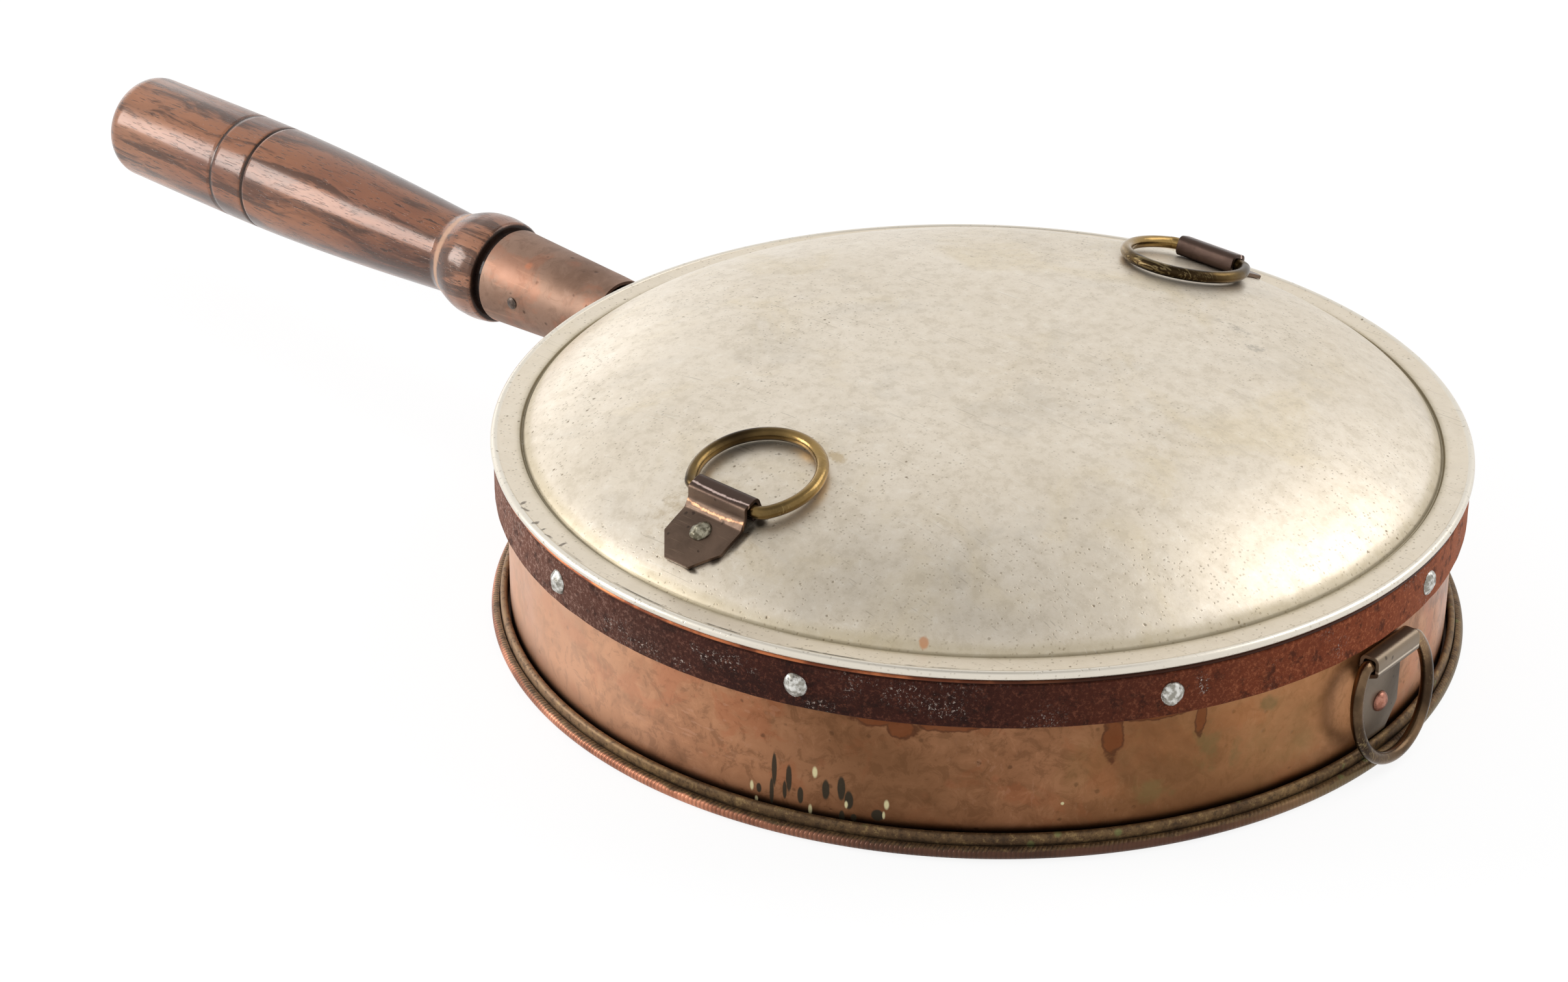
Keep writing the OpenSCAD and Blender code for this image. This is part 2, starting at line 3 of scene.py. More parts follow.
import bmesh
import bpy
import numpy as np
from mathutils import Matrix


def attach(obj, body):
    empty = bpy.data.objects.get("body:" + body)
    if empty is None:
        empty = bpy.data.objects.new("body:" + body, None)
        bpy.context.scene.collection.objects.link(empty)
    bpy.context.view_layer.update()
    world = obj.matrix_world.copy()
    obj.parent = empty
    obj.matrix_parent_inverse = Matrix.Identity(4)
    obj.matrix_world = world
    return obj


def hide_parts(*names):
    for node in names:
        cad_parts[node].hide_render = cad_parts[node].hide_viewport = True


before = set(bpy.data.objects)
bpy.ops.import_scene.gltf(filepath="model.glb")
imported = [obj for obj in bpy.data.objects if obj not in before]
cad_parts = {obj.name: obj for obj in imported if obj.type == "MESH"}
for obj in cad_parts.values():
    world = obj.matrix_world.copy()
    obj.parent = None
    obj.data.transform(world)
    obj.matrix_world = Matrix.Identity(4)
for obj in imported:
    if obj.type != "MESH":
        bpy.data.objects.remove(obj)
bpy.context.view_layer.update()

MM = 0.001

# ---------------------------------------------------------------- sizes, in mm
WALL_R, WALL_T, WALL_TOP = 135.6, 1.0, 52.7
HOOP_R, HOOP_LOW, HOOP_HIGH = 139.15, 39.4, 52.7
LIP_R, LIP_TOP = 139.2, 53.7
FOOT_R, FOOT_TOP, FOOT_BEAD, FOOT_T, FOOT_LEG = 141.1, 6.4, 1.7, 0.8, 136.4
LID_R, LID_BEAD, LID_T, RIM_Z = 140.0, 1.3, 0.7, 56.2
DOME_R, DOME_H, DOME_FLAT, DOME_FULL = 130.4, 26.0, 3.2, 0.8
GROOVE_W, GROOVE_D = 1.2, 0.7
BEAD_TURN, BEAD_JOIN, BEAD_JOIN_IN = 129.7, 0.83, 0.52
HANDLE_Z, FERRULE_X, FERRULE_END, COLLAR_X = 41.8, 144.55, 192.55, 195.15
NECK_X, SWELL_X, BUTT_X = 217.15, 315.15, 377.15
NECK_R, GRIP_R, BUTT_R, COLLAR_R = 13.2, 17.6, 17.3, 17.1
BUTT_ROUND, CUT_LINES, CUT_DEPTH, CUT_HALF_W = 9.0, (BUTT_X - 58.0, BUTT_X - 73.4), 0.65, 0.45
TUBE_R, TUBE_FLARE, TUBE_FLARE_L, TUBE_T = 12.8, 2.3, 48.0, 1.0
LID_BAR, LID_RIVET_R, LID_TIP_R = (106.5, 73.925), 115.5, 125.0
DRUM_BAR, DRUM_RIVET_Z, DRUM_TAB_L = (138.73, 33.42), 17.22, 26.62
TAB_HALF, TIP_HALF, CLIP_L, KNUCKLE_R, RAMP_L = 10.3, 4.2, 6.2, 3.08, 3.2
STRIP_HALF_T, STRIP_COLS, CLIP_ROWS = 0.58, 13, 18
CREASE_R, GROOVE_R = 137.55, 130.6
FLOOR_Z, FLOOR_HALF = -0.0004, 6.0  # metres
DRUM_TAB_DEGREES = 3
DRUM_TAB_TURN = math.radians(DRUM_TAB_DEGREES)
HOOP_RIVETS, HOOP_RIVET_Z = (11, 51, 91, 131, 215, 255, 290, 331), 46.05


# ------------------------------------------------------------------- meshes
def grid_faces(rows, cols, wrap_rows=False):
    """Quads of a rows x cols grid of points, each joined to the next in its row, which closes on itself,
    and in the next row."""
    r = np.arange(rows if wrap_rows else rows - 1)[:, None]
    c = np.arange(cols)[None, :]
    r1, c1 = (r + 1) % rows, (c + 1) % cols
    quads = np.stack([r * cols + c, r * cols + c1, r1 * cols + c1, r1 * cols + c], -1)
    return quads.reshape(-1, 4)


def finish_mesh(name, shape, body, finish, sharp=32, bevel=0.0, stands_for=()):
    """Welds the doubles of a shape's points and faces, turns the faces outwards, shades smooth up to the
    sharp angle, and hangs the piece on its body."""
    points, faces = shape
    mesh = bpy.data.meshes.new(name)
    mesh.from_pydata((np.asarray(points, float) * MM).reshape(-1, 3).tolist(), [],
                     np.asarray(faces).tolist())
    work = bmesh.new()
    work.from_mesh(mesh)
    bmesh.ops.remove_doubles(work, verts=work.verts, dist=2e-6)
    bmesh.ops.dissolve_degenerate(work, edges=work.edges, dist=1e-7)
    bmesh.ops.recalc_face_normals(work, faces=work.faces)
    work.to_mesh(mesh)
    work.free()
    mesh.shade_smooth()
    mesh.set_sharp_from_angle(angle=math.radians(sharp))
    piece = bpy.data.objects.new(name, mesh)
    bpy.context.scene.collection.objects.link(piece)
    mesh.materials.append(finish)
    if bevel:
        edge = piece.modifiers.new("worn_edge", "BEVEL")
        edge.width, edge.segments, edge.limit_method = bevel * MM, 2, "ANGLE"
        edge.angle_limit = math.radians(40)
    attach(piece, body)
    if stands_for:
        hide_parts(*stands_for)
    return piece


def revolve(profile, steps=360, closed=True, change=None):
    """Each (radius, height) of the profile is turned round Z: x = r cos a, y = r sin a, z = height.
    change(r, a, z) may return the radius and height a little off true."""
    profile = np.asarray(profile, float)
    a = np.linspace(0, 2 * np.pi, steps, endpoint=False)[None, :]
    r = np.repeat(profile[:, :1], steps, 1)
    z = np.repeat(profile[:, 1:], steps, 1)
    if change:
        r, z = change(r, a, z)
    points = np.stack([r * np.cos(a), r * np.sin(a), z + 0 * a], -1)
    return points, grid_faces(len(profile), steps, wrap_rows=closed)


def along_handle(shape):
    """Turns a solid of revolution about Z into one about the handle's axis, which runs to -X."""
    points, faces = shape
    return np.stack([-points[..., 2], points[..., 0], points[..., 1] + HANDLE_Z], -1), faces


def arc(centre, r, start, end, n=12):
    """Points on a circle round the centre, from the start to the end angle in degrees."""
    t = np.radians(np.linspace(start, end, n))
    return np.stack([centre[0] + r * np.cos(t), centre[1] + r * np.sin(t)], -1)


def line(a, b, n=2):
    """n points evenly spaced from a to b."""
    return np.linspace(a, b, n)


def path(*runs):
    """Runs of points joined into one profile, without the doubles where they meet."""
    joined = np.concatenate([np.asarray(r, float).reshape(-1, 2) for r in runs])
    apart = np.linalg.norm(np.diff(joined, axis=0), axis=1) > 1e-6
    return joined[np.concatenate([[True], apart])]


def rounded(corners, radii, n=7):
    """A run of straight lines whose inner corners are rounded by arcs that touch both lines."""
    corners = np.asarray(corners, float)
    runs = [corners[:1]]
    for before, here, after, r in zip(corners, corners[1:], corners[2:], radii):
        a, b = (before - here) / np.linalg.norm(before - here), (after - here) / np.linalg.norm(after - here)
        half = math.acos(float(np.clip(a @ b, -1, 1))) / 2
        reach = r / math.tan(half)
        centre = here + (a + b) / np.linalg.norm(a + b) * r / math.sin(half)
        start, end = (math.atan2(*(here + d * reach - centre)[::-1]) for d in (a, b))
        end = start + (end - start + math.pi) % (2 * math.pi) - math.pi
        runs.append(arc(centre, r, math.degrees(start), math.degrees(end), n))
    return path(*runs, corners[-1:])


def waves(x, y, seed, length, terms=7):
    """Sum of plane waves of seeded directions and phases, each cos(k . p + phase), divided by the terms."""
    rng = np.random.default_rng(seed)
    turn, phase = rng.uniform(0, 2 * np.pi, (2, terms))
    k = 2 * np.pi / (length * rng.uniform(0.7, 1.5, terms))
    ways = zip(k, np.cos(turn), np.sin(turn), phase)
    return sum(np.cos(size * (x * c + y * s) + start) for size, c, s, start in ways) / terms


# --------------------------------------------------------------- shader nodes
def srgb(r, g, b):
    """A colour of the screen, 0 to 255, as linear light with an alpha of 1."""
    c = np.array([r, g, b]) / 255
    return tuple(np.where(c <= 0.04045, c / 12.92, ((c + 0.055) / 1.055) ** 2.4)) + (1.0,)


class Desk:
    """Holds the node tree that is being wired. The helpers below add their nodes to it."""
    tree = None


def feed(socket, value):
    """Links a socket to the value, or sets it."""
    if isinstance(value, bpy.types.NodeSocket):
        Desk.tree.links.new(value, socket)
    else:
        socket.default_value = value


def put(kind, feeds=None, **settings):
    """Adds a node, sets its properties, and gives each socket in feeds a value or a link."""
    node = Desk.tree.nodes.new(kind)
    for key, value in settings.items():
        setattr(node, key, value)
    for key, value in (feeds or {}).items():
        feed(node.inputs[key], value)
    return node


def maths(operation, first, *others):
    """One step of arithmetic on numbers or sockets, repeated from the left for each further value."""
    result = first
    for value in others or (0.0,):
        result = put("ShaderNodeMath", {0: result, 1: value}, operation=operation).outputs[0]
    return result


def times(*values):
    """The product of numbers and sockets."""
    return maths("MULTIPLY", *values) if len(values) > 1 else values[0]


def plus(*values):
    """The sum of numbers and sockets."""
    return maths("ADD", *values)


def minus(a, b):
    """a less b."""
    return maths("SUBTRACT", a, b)


def most(*values):
    """The largest of numbers and sockets."""
    return maths("MAXIMUM", *values)


def away(value, at):
    """How far a value is from a place, to either side."""
    return maths("ABSOLUTE", minus(value, at))


def blend(share, a, b):
    """Colour a turned into colour b by a share."""
    return put("ShaderNodeMix", {0: share, 6: a, 7: b}, data_type="RGBA").outputs[2]


def tint(colour, tone, *shares):
    """The colour turned into a colour of the screen by the product of the shares."""
    return blend(times(*shares), colour, srgb(*tone))


def between(share, a, b):
    """A number between a and b by a share."""
    return put("ShaderNodeMix", {0: share, 2: a, 3: b}).outputs[0]


def ramp(value, low, high, out_low=0.0, out_high=1.0):
    """Maps low..high to out_low..out_high with soft ends."""
    feeds = {"Value": value, "From Min": low, "From Max": high, "To Min": out_low, "To Max": out_high}
    return put("ShaderNodeMapRange", feeds, interpolation_type="SMOOTHSTEP").outputs[0]


def band(value, at, inner, outer):
    """1 within inner of a place, falling to 0 at outer."""
    return ramp(away(value, at), inner, outer, 1.0, 0.0)


def noise(vector, scale, detail=4.0, rough=0.55, distort=0.0, out=0):
    """Fractal noise; output 0 is the number and 1 the colour."""
    feeds = {"Vector": vector, "Scale": scale, "Detail": detail, "Roughness": rough, "Distortion": distort}
    return put("ShaderNodeTexNoise", feeds).outputs[out]


def stretch(vector, scale, shift=(0.0, 0.0, 0.0), turn=(0.0, 0.0, 0.0)):
    """Moves, turns and scales a pattern's space."""
    feeds = {"Vector": vector, "Scale": scale, "Location": shift, "Rotation": turn}
    return put("ShaderNodeMapping", feeds).outputs[0]


def new_group(name, ins, outs):
    """An empty shader group with named inputs (name, type, default) and outputs (name, type)."""
    tree = Desk.tree = bpy.data.node_groups.new(name, "ShaderNodeTree")
    for label, kind, value in ins:
        socket = tree.interface.new_socket(label, in_out="INPUT", socket_type=kind)
        if value is not None:
            socket.default_value = value
    for label, kind in outs:
        tree.interface.new_socket(label, in_out="OUTPUT", socket_type=kind)
    return tree, tree.nodes.new("NodeGroupInput").outputs, tree.nodes.new("NodeGroupOutput").inputs


FLOAT, VECTOR = "NodeSocketFloat", "NodeSocketVector"


def make_mottle():
    """Soft patches: fractal noise, cut between Low and High with soft ends."""
    ins = [("Vector", VECTOR, None), ("Scale", FLOAT, 40.0), ("Low", FLOAT, 0.4), ("High", FLOAT, 0.6),
           ("Warp", FLOAT, 0.0), ("Roughness", FLOAT, 0.6)]
    tree, i, o = new_group("mottle", ins, [("Mask", FLOAT)])
    fac = noise(i["Vector"], i["Scale"], 6.0, i["Roughness"], i["Warp"])
    feed(o["Mask"], ramp(fac, i["Low"], i["High"]))
    return tree


def make_specks():
    """Small round spots: in a share of Voronoi cells, where the distance to the centre is under Size."""
    ins = [("Vector", VECTOR, None), ("Scale", FLOAT, 300.0), ("Share", FLOAT, 0.2), ("Size", FLOAT, 0.25)]
    tree, i, o = new_group("specks", ins, [("Mask", FLOAT)])
    bend = noise(i["Vector"], times(i["Scale"], 2.0), 2.0, out=1)
    bent = put("ShaderNodeVectorMath", {0: bend, 1: (0.0008, 0.0008, 0.0008), 2: i["Vector"]},
               operation="MULTIPLY_ADD").outputs[0]
    cell = put("ShaderNodeTexVoronoi", {"Vector": bent, "Scale": i["Scale"]})
    chance = put("ShaderNodeSeparateColor", {0: cell.outputs["Color"]}).outputs[0]
    near = ramp(cell.outputs["Distance"], times(i["Size"], 0.4), i["Size"], 1.0, 0.0)
    feed(o["Mask"], times(near, maths("LESS_THAN", chance, i["Share"])))
    return tree


def make_scratches():
    """Hair lines in worn areas: three noises, each drawn out in its own direction and cut near its top."""
    ins = [("Vector", VECTOR, None), ("Scale", FLOAT, 30.0), ("Cut", FLOAT, 0.66)]
    tree, i, o = new_group("scratches", ins, [("Mask", FLOAT)])
    top = 0.0
    for turn in ((0.0, 0.0, 0.5), (0.0, 0.0, 1.7), (0.2, 0.3, 2.6)):
        space = stretch(i["Vector"], (1.0, 34.0, 14.0), turn=turn)
        fac = noise(space, i["Scale"], 2.0, 0.4)
        top = most(top, ramp(fac, i["Cut"], plus(i["Cut"], 0.03)))
    worn = ramp(noise(i["Vector"], 28.0, 3.0), 0.45, 0.62)
    feed(o["Mask"], times(top, worn))
    return tree


def make_round():
    """Place on the drum: angle round Z in degrees, radius and height in mm."""
    tree, i, o = new_group("round_place", [("Vector", VECTOR, None)],
                           [("Angle", FLOAT), ("Radius", FLOAT), ("Height", FLOAT)])
    at = put("ShaderNodeSeparateXYZ", {0: i["Vector"]}).outputs
    flat = put("ShaderNodeCombineXYZ", {0: at[0], 1: at[1]}).outputs[0]
    far = put("ShaderNodeVectorMath", {0: flat}, operation="LENGTH").outputs["Value"]
    feed(o["Angle"], maths("DEGREES", maths("ARCTAN2", at[1], at[0])))
    feed(o["Radius"], times(far, 1 / MM))
    feed(o["Height"], times(at[2], 1 / MM))
    return tree


def make_spot():
    """One stain: an upright oval round a place, its edge pushed about by noise; 1 inside and 0 outside."""
    ins = [("Across", FLOAT, 0.0), ("Up", FLOAT, 0.0), ("At Across", FLOAT, 0.0), ("At Up", FLOAT, 0.0),
           ("Width", FLOAT, 2.0), ("Length", FLOAT, 4.0), ("Ragged", FLOAT, 0.0), ("Edge", FLOAT, 0.3)]
    tree, i, o = new_group("spot", ins, [("Mask", FLOAT)])
    x = maths("DIVIDE", minus(i["Across"], i["At Across"]), i["Width"])
    y = maths("DIVIDE", minus(i["Up"], i["At Up"]), i["Length"])
    d = maths("SQRT", plus(times(x, x), times(y, y)))
    pushed = plus(d, i["Ragged"])
    feed(o["Mask"], ramp(pushed, minus(1.0, i["Edge"]), 1.0, 1.0, 0.0))
    return tree


MOTTLE, SPECKS, SCRATCHES = make_mottle(), make_specks(), make_scratches()
ROUND, SPOT = make_round(), make_spot()


def effect(group, out="Mask", **feeds):
    """Places a shared effect; an underscore in a feed's name stands for a space."""
    node = put("ShaderNodeGroup", node_tree=group)
    for key, value in feeds.items():
        feed(node.inputs[key.replace("_", " ")], value)
    return node.outputs[out] if out else node.outputs


def patches(vector, scale, levels, warp=0.0, rough=0.6, shift=None):
    """The shared mottle, cut between two levels. A shift moves it to another part of the noise."""
    vector = stretch(vector, (1.0, 1.0, 1.0), shift) if shift else vector
    return effect(MOTTLE, Vector=vector, Scale=scale, Low=levels[0], High=levels[1], Warp=warp,
                  Roughness=rough)


def specks(vector, scale, share, size):
    """The shared specks: the share of cells that hold one, and its size in cells."""
    return effect(SPECKS, Vector=vector, Scale=scale, Share=share, Size=size)


def scratches(vector, scale, cut, shift=None):
    """The shared hair lines: the higher the cut, the fewer there are."""
    vector = stretch(vector, (1.0, 1.0, 1.0), shift) if shift else vector
    return effect(SCRATCHES, Vector=vector, Scale=scale, Cut=cut)


def stains(places, across, up, push, edge):
    """The highest of the ovals at those places: (place across, place up, half width, half length)."""
    top = 0.0
    for at_across, at_up, width, length in places:
        one = effect(SPOT, Across=across, Up=up, At_Across=at_across, At_Up=at_up, Width=width,
                     Length=length, Ragged=push, Edge=edge)
        top = most(top, one)
    return top


def new_finish(name):
    """A material with its Principled shader, and the Object coordinates every pattern reads."""
    material = bpy.data.materials.new(name)
    material.use_nodes = True
    Desk.tree = material.node_tree
    Desk.tree.nodes.clear()
    shader = put("ShaderNodeBsdfPrincipled")
    put("ShaderNodeOutputMaterial", {0: shader.outputs[0]})
    return material, shader, put("ShaderNodeTexCoord").outputs["Object"]


def wire_up(shader, **feeds):
    """Sets or links the shader's sockets; Height with Depth (metres) becomes a bump on the normal."""
    height, depth = feeds.pop("Height", None), feeds.pop("Depth", 0.0002)
    if height is not None:
        bump = put("ShaderNodeBump", {"Height": height, "Distance": depth, "Strength": 1.0})
        feed(shader.inputs["Normal"], bump.outputs[0])
    for key, value in feeds.items():
        feed(shader.inputs[key.replace("_", " ")], value)


# ------------------------------------------------------------------ finishes
# Marks on the lid's dome, round its front tab and on its rim, and a painted shadow by the front tab: x, y,
# half width and half length in mm
DOME_MARKS = ((11.5, -75.0, 5.2, 2.4),)
GREY_MARKS = ((42.0, 63.7, 9.0, 3.0), (52.0, 58.0, 5.0, 4.0))
# Painted shadow beside and under the front tab.
TAB_PAINTED_SHADOW = ((11.2, -112.5, 1.9, 6.5), (9.2, -120.2, 2.2, 2.2), (5.0, -124.8, 3.0, 0.8),
             (12.0, -105.6, 2.6, 2.0))
TAB_GRIME = ((-2.0, -111.0, 21.0, 15.0),)
RIM_NICKS = ((-58.4, -124.6, 2.2, 0.7), (-50.8, -128.2, 0.7, 1.7), (-42.7, -131.0, 1.9, 0.6),
             (-36.8, -131.6, 0.6, 1.7), (-61.5, -122.4, 0.7, 1.4), (-46.6, -129.4, 0.5, 1.2))
ORANGE_SPOT = ((71.0, -107.4, 1.5, 1.5),)


def silvered_lid():
    """Worn silvering: cream metal with yellow and grey patches, pits, hair scratches, a darker groove, and
    painted light and shade at the bead, the crease and the front tab.
    """
    material, shader, place = new_finish("silvered_lid")
    angle, radius, height = effect(ROUND, None, Vector=place)
    colour = blend(patches(place, 9.0, (0.3, 0.72), warp=0.6), srgb(230, 219, 202), srgb(220, 208, 189))
    yellow = patches(place, 27.0, (0.5, 0.72), warp=0.9, shift=(0.31, 0.07, 0))
    colour = tint(colour, (216, 198, 158), yellow, 0.36)
    grey = patches(place, 34.0, (0.5, 0.72), warp=0.8, shift=(0.1, 0.5, 0))
    colour = tint(colour, (184, 177, 165), grey, 0.24)
    grain = noise(place, 210.0, 9.0, 0.8)
    colour = tint(colour, (186, 172, 148), ramp(grain, 0.48, 0.6), 0.3)
    colour = tint(colour, (244, 237, 224), ramp(grain, 0.46, 0.36), 0.3)
    bite = noise(place, 60.0, 4.0)
    # Darker and more olive towards the groove, darkest along its bottom.
    near = ramp(plus(away(radius, GROOVE_R), times(bite, -2.0)), 0.0, 2.4, 1.0, 0.0)
    colour = tint(colour, (162, 149, 114), near, 0.42)
    colour = tint(colour, (118, 106, 78), band(radius, 131.0, 0.35, 0.95), 0.6)
    rim = ramp(radius, 131.8, 133.0)
    colour = tint(colour, (232, 220, 200), rim, 0.6)
    # The bead is painted lighter: rubbed metal and a painted highlight.
    bead = ramp(radius, 137.7, 138.3)
    colour = tint(colour, (228, 223, 212), bead, 0.6)
    # Painted shade: a broken dark line in the crease above the bead, at the front.
    crease = times(band(radius, CREASE_R, 0.12, 0.42), ramp(bite, 0.44, 0.54),
                   band(angle, -76.0, 14.0, 34.0))
    colour = tint(colour, (72, 68, 60), crease, 0.8)
    pits = specks(place, 430.0, share=0.05, size=0.24)
    fine = specks(place, 1000.0, share=0.28, size=0.4)
    pitting = most(pits, times(fine, 0.55))
    pitting = times(pitting, ramp(noise(place, 17.0, 2.0), 0.36, 0.6, 0.35, 1.0))
    colour = tint(colour, (108, 90, 62), pitting, 0.76)
    scuffs = scratches(place, 30.0, cut=0.69)
    colour = tint(colour, (240, 238, 230), scuffs, 0.16)
    dark_hairs = scratches(place, 44.0, cut=0.71, shift=(0.2, 0.1, 0.3))
    colour = tint(colour, (128, 118, 98), dark_hairs, 0.3)
    in_mm = put("ShaderNodeVectorMath", {0: place, 3: 1 / MM}, operation="SCALE").outputs[0]
    at = put("ShaderNodeSeparateXYZ", {0: in_mm}).outputs
    on_top = ramp(height, 55.0, 55.6)
    push = times(minus(noise(place, 300.0, 4.0, 0.7), 0.5), 2.2)
    # The dark ovals by the front tab are a painted shadow; the other ovals are stains, grime and nicks.
    for places, ragged, edge, patchy, share, tone in (
            (DOME_MARKS, 1.0, 0.7, 1.0, 0.5, (178, 150, 96)),
            (TAB_GRIME, 1.0, 0.9, ramp(grain, 0.4, 0.56), 0.5, (172, 148, 102)),
            (TAB_PAINTED_SHADOW, 0.25, 0.7, 1.0, 0.85, (58, 44, 28)),
            (GREY_MARKS, 1.0, 0.9, ramp(grain, 0.4, 0.6), 0.5, (132, 128, 120)),
            (RIM_NICKS, 1.0, 0.5, 1.0, 0.7, (70, 56, 44)),
            (ORANGE_SPOT, 0.4, 0.5, 1.0, 0.7, (198, 132, 86))):
        ovals = stains(places, at[0], at[1], times(push, ragged), edge)
        colour = tint(colour, tone, ovals, on_top, patchy, share)
    rough = between(patches(place, 30.0, (0.3, 0.7)), 0.36, 0.46)
    rough = plus(rough, times(near, 0.12))
    rough = minus(rough, times(bead, 0.08))
    fine_grain = noise(place, 700.0, 3.0, 0.6)
    relief = minus(times(fine_grain, 0.2), times(pitting, 0.5))
    wire_up(shader, Base_Color=colour, Metallic=0.85, Roughness=rough, Height=relief, Depth=0.00012)
    return material


def aged_copper(name, light, mid, dark, stain=1.0, rough=(0.34, 0.5)):
    """Satin copper under brown patina: pink metal showing through, blotches, pits and scratches."""
    material, shader, place = new_finish(name)
    clouds = patches(place, 16.0, (0.34, 0.66), warp=1.0)
    colour = blend(clouds, light, mid)
    blotch = patches(stretch(place, (1, 1, 1.6), (0.2, 0.4, 0.1)), 38.0, (0.5, 0.68), warp=0.8)
    colour = blend(times(blotch, 0.5 * stain), colour, dark)
    grain = noise(place, 190.0, 8.0, 0.72, 0.6)
    colour = blend(times(ramp(grain, 0.5, 0.6), 0.48 * stain), colour, dark)
    colour = blend(times(ramp(grain, 0.47, 0.37), 0.6 * stain), colour, light)
    ruddy = patches(place, 62.0, (0.52, 0.62), warp=0.5, shift=(0.6, 0.1, 0.8))
    colour = tint(colour, (182, 104, 68), ruddy, 0.4 * stain)
    pink = specks(place, 210.0, share=0.16, size=0.42)
    pink = times(pink, ramp(noise(place, 30.0, 2.0), 0.5, 0.66))
    colour = tint(colour, (206, 128, 92), pink, 0.5)
    pits = specks(place, 330.0, share=0.1, size=0.3)
    colour = tint(colour, (58, 36, 26), pits, 0.6)
    scuffs = scratches(place, 30.0, cut=0.67)
    colour = tint(colour, (210, 158, 128), scuffs, 0.3 * stain)
    gloss = between(patches(place, 45.0, (0.3, 0.7)), rough[0], rough[1])
    relief = minus(times(noise(place, 420.0, 4.0), 0.2), times(pits, 0.6))
    wire_up(shader, Base_Color=colour, Metallic=0.85, Roughness=gloss, Height=relief, Depth=0.0001)
    return material, shader, place, colour, gloss


# Stains on the wall: angle in degrees, height, half width and half length in mm
DARK_DRIPS = ((-73.1, 16.5, 0.8, 6.0), (-73.4, 9.5, 0.7, 4.6), (-71.3, 14.6, 1.0, 4.6),
              (-71.8, 11.0, 0.7, 3.2), (-69.9, 10.4, 0.9, 2.8), (-66.9, 13.6, 1.3, 3.6),
              (-65.1, 14.8, 1.2, 4.2), (-64.2, 11.6, 1.3, 3.2), (-65.0, 6.2, 0.9, 2.4),
              (-60.9, 8.3, 1.9, 2.0), (-75.0, 9.4, 0.9, 1.8), (-63.6, 6.6, 1.1, 1.4))
PALE_DRIPS = ((-75.9, 9.6, 0.7, 1.9), (-75.3, 5.9, 0.7, 1.2), (-68.2, 18.4, 0.9, 2.1),
              (-68.7, 6.6, 0.7, 2.0), (-64.5, 10.2, 0.6, 1.4), (-59.9, 12.0, 0.9, 1.9),
              (-60.2, 8.6, 0.5, 1.5), (-40.4, 14.0, 0.6, 0.6))
RUST_RUNS = ((-61.5, 38.6, 9.0, 4.2), (-58.6, 36.4, 5.0, 4.4), (-53.0, 38.4, 12.0, 2.6),
             (-35.0, 34.0, 3.4, 8.6), (-24.6, 36.0, 1.8, 6.6), (-47.0, 39.0, 20.0, 1.6),
             (-29.0, 38.8, 16.0, 2.4))
GREEN_PATCHES = ((-23.6, 25.0, 4.4, 8.0), (-16.0, 33.5, 4.0, 3.4), (-20.0, 20.0, 3.0, 5.0),
                 (-30.0, 14.0, 7.0, 5.0))


def by_length(places):
    """The wall's places with their angles turned into mm along the wall."""
    return [(turn * math.pi * WALL_R / 180, *rest) for turn, *rest in places]


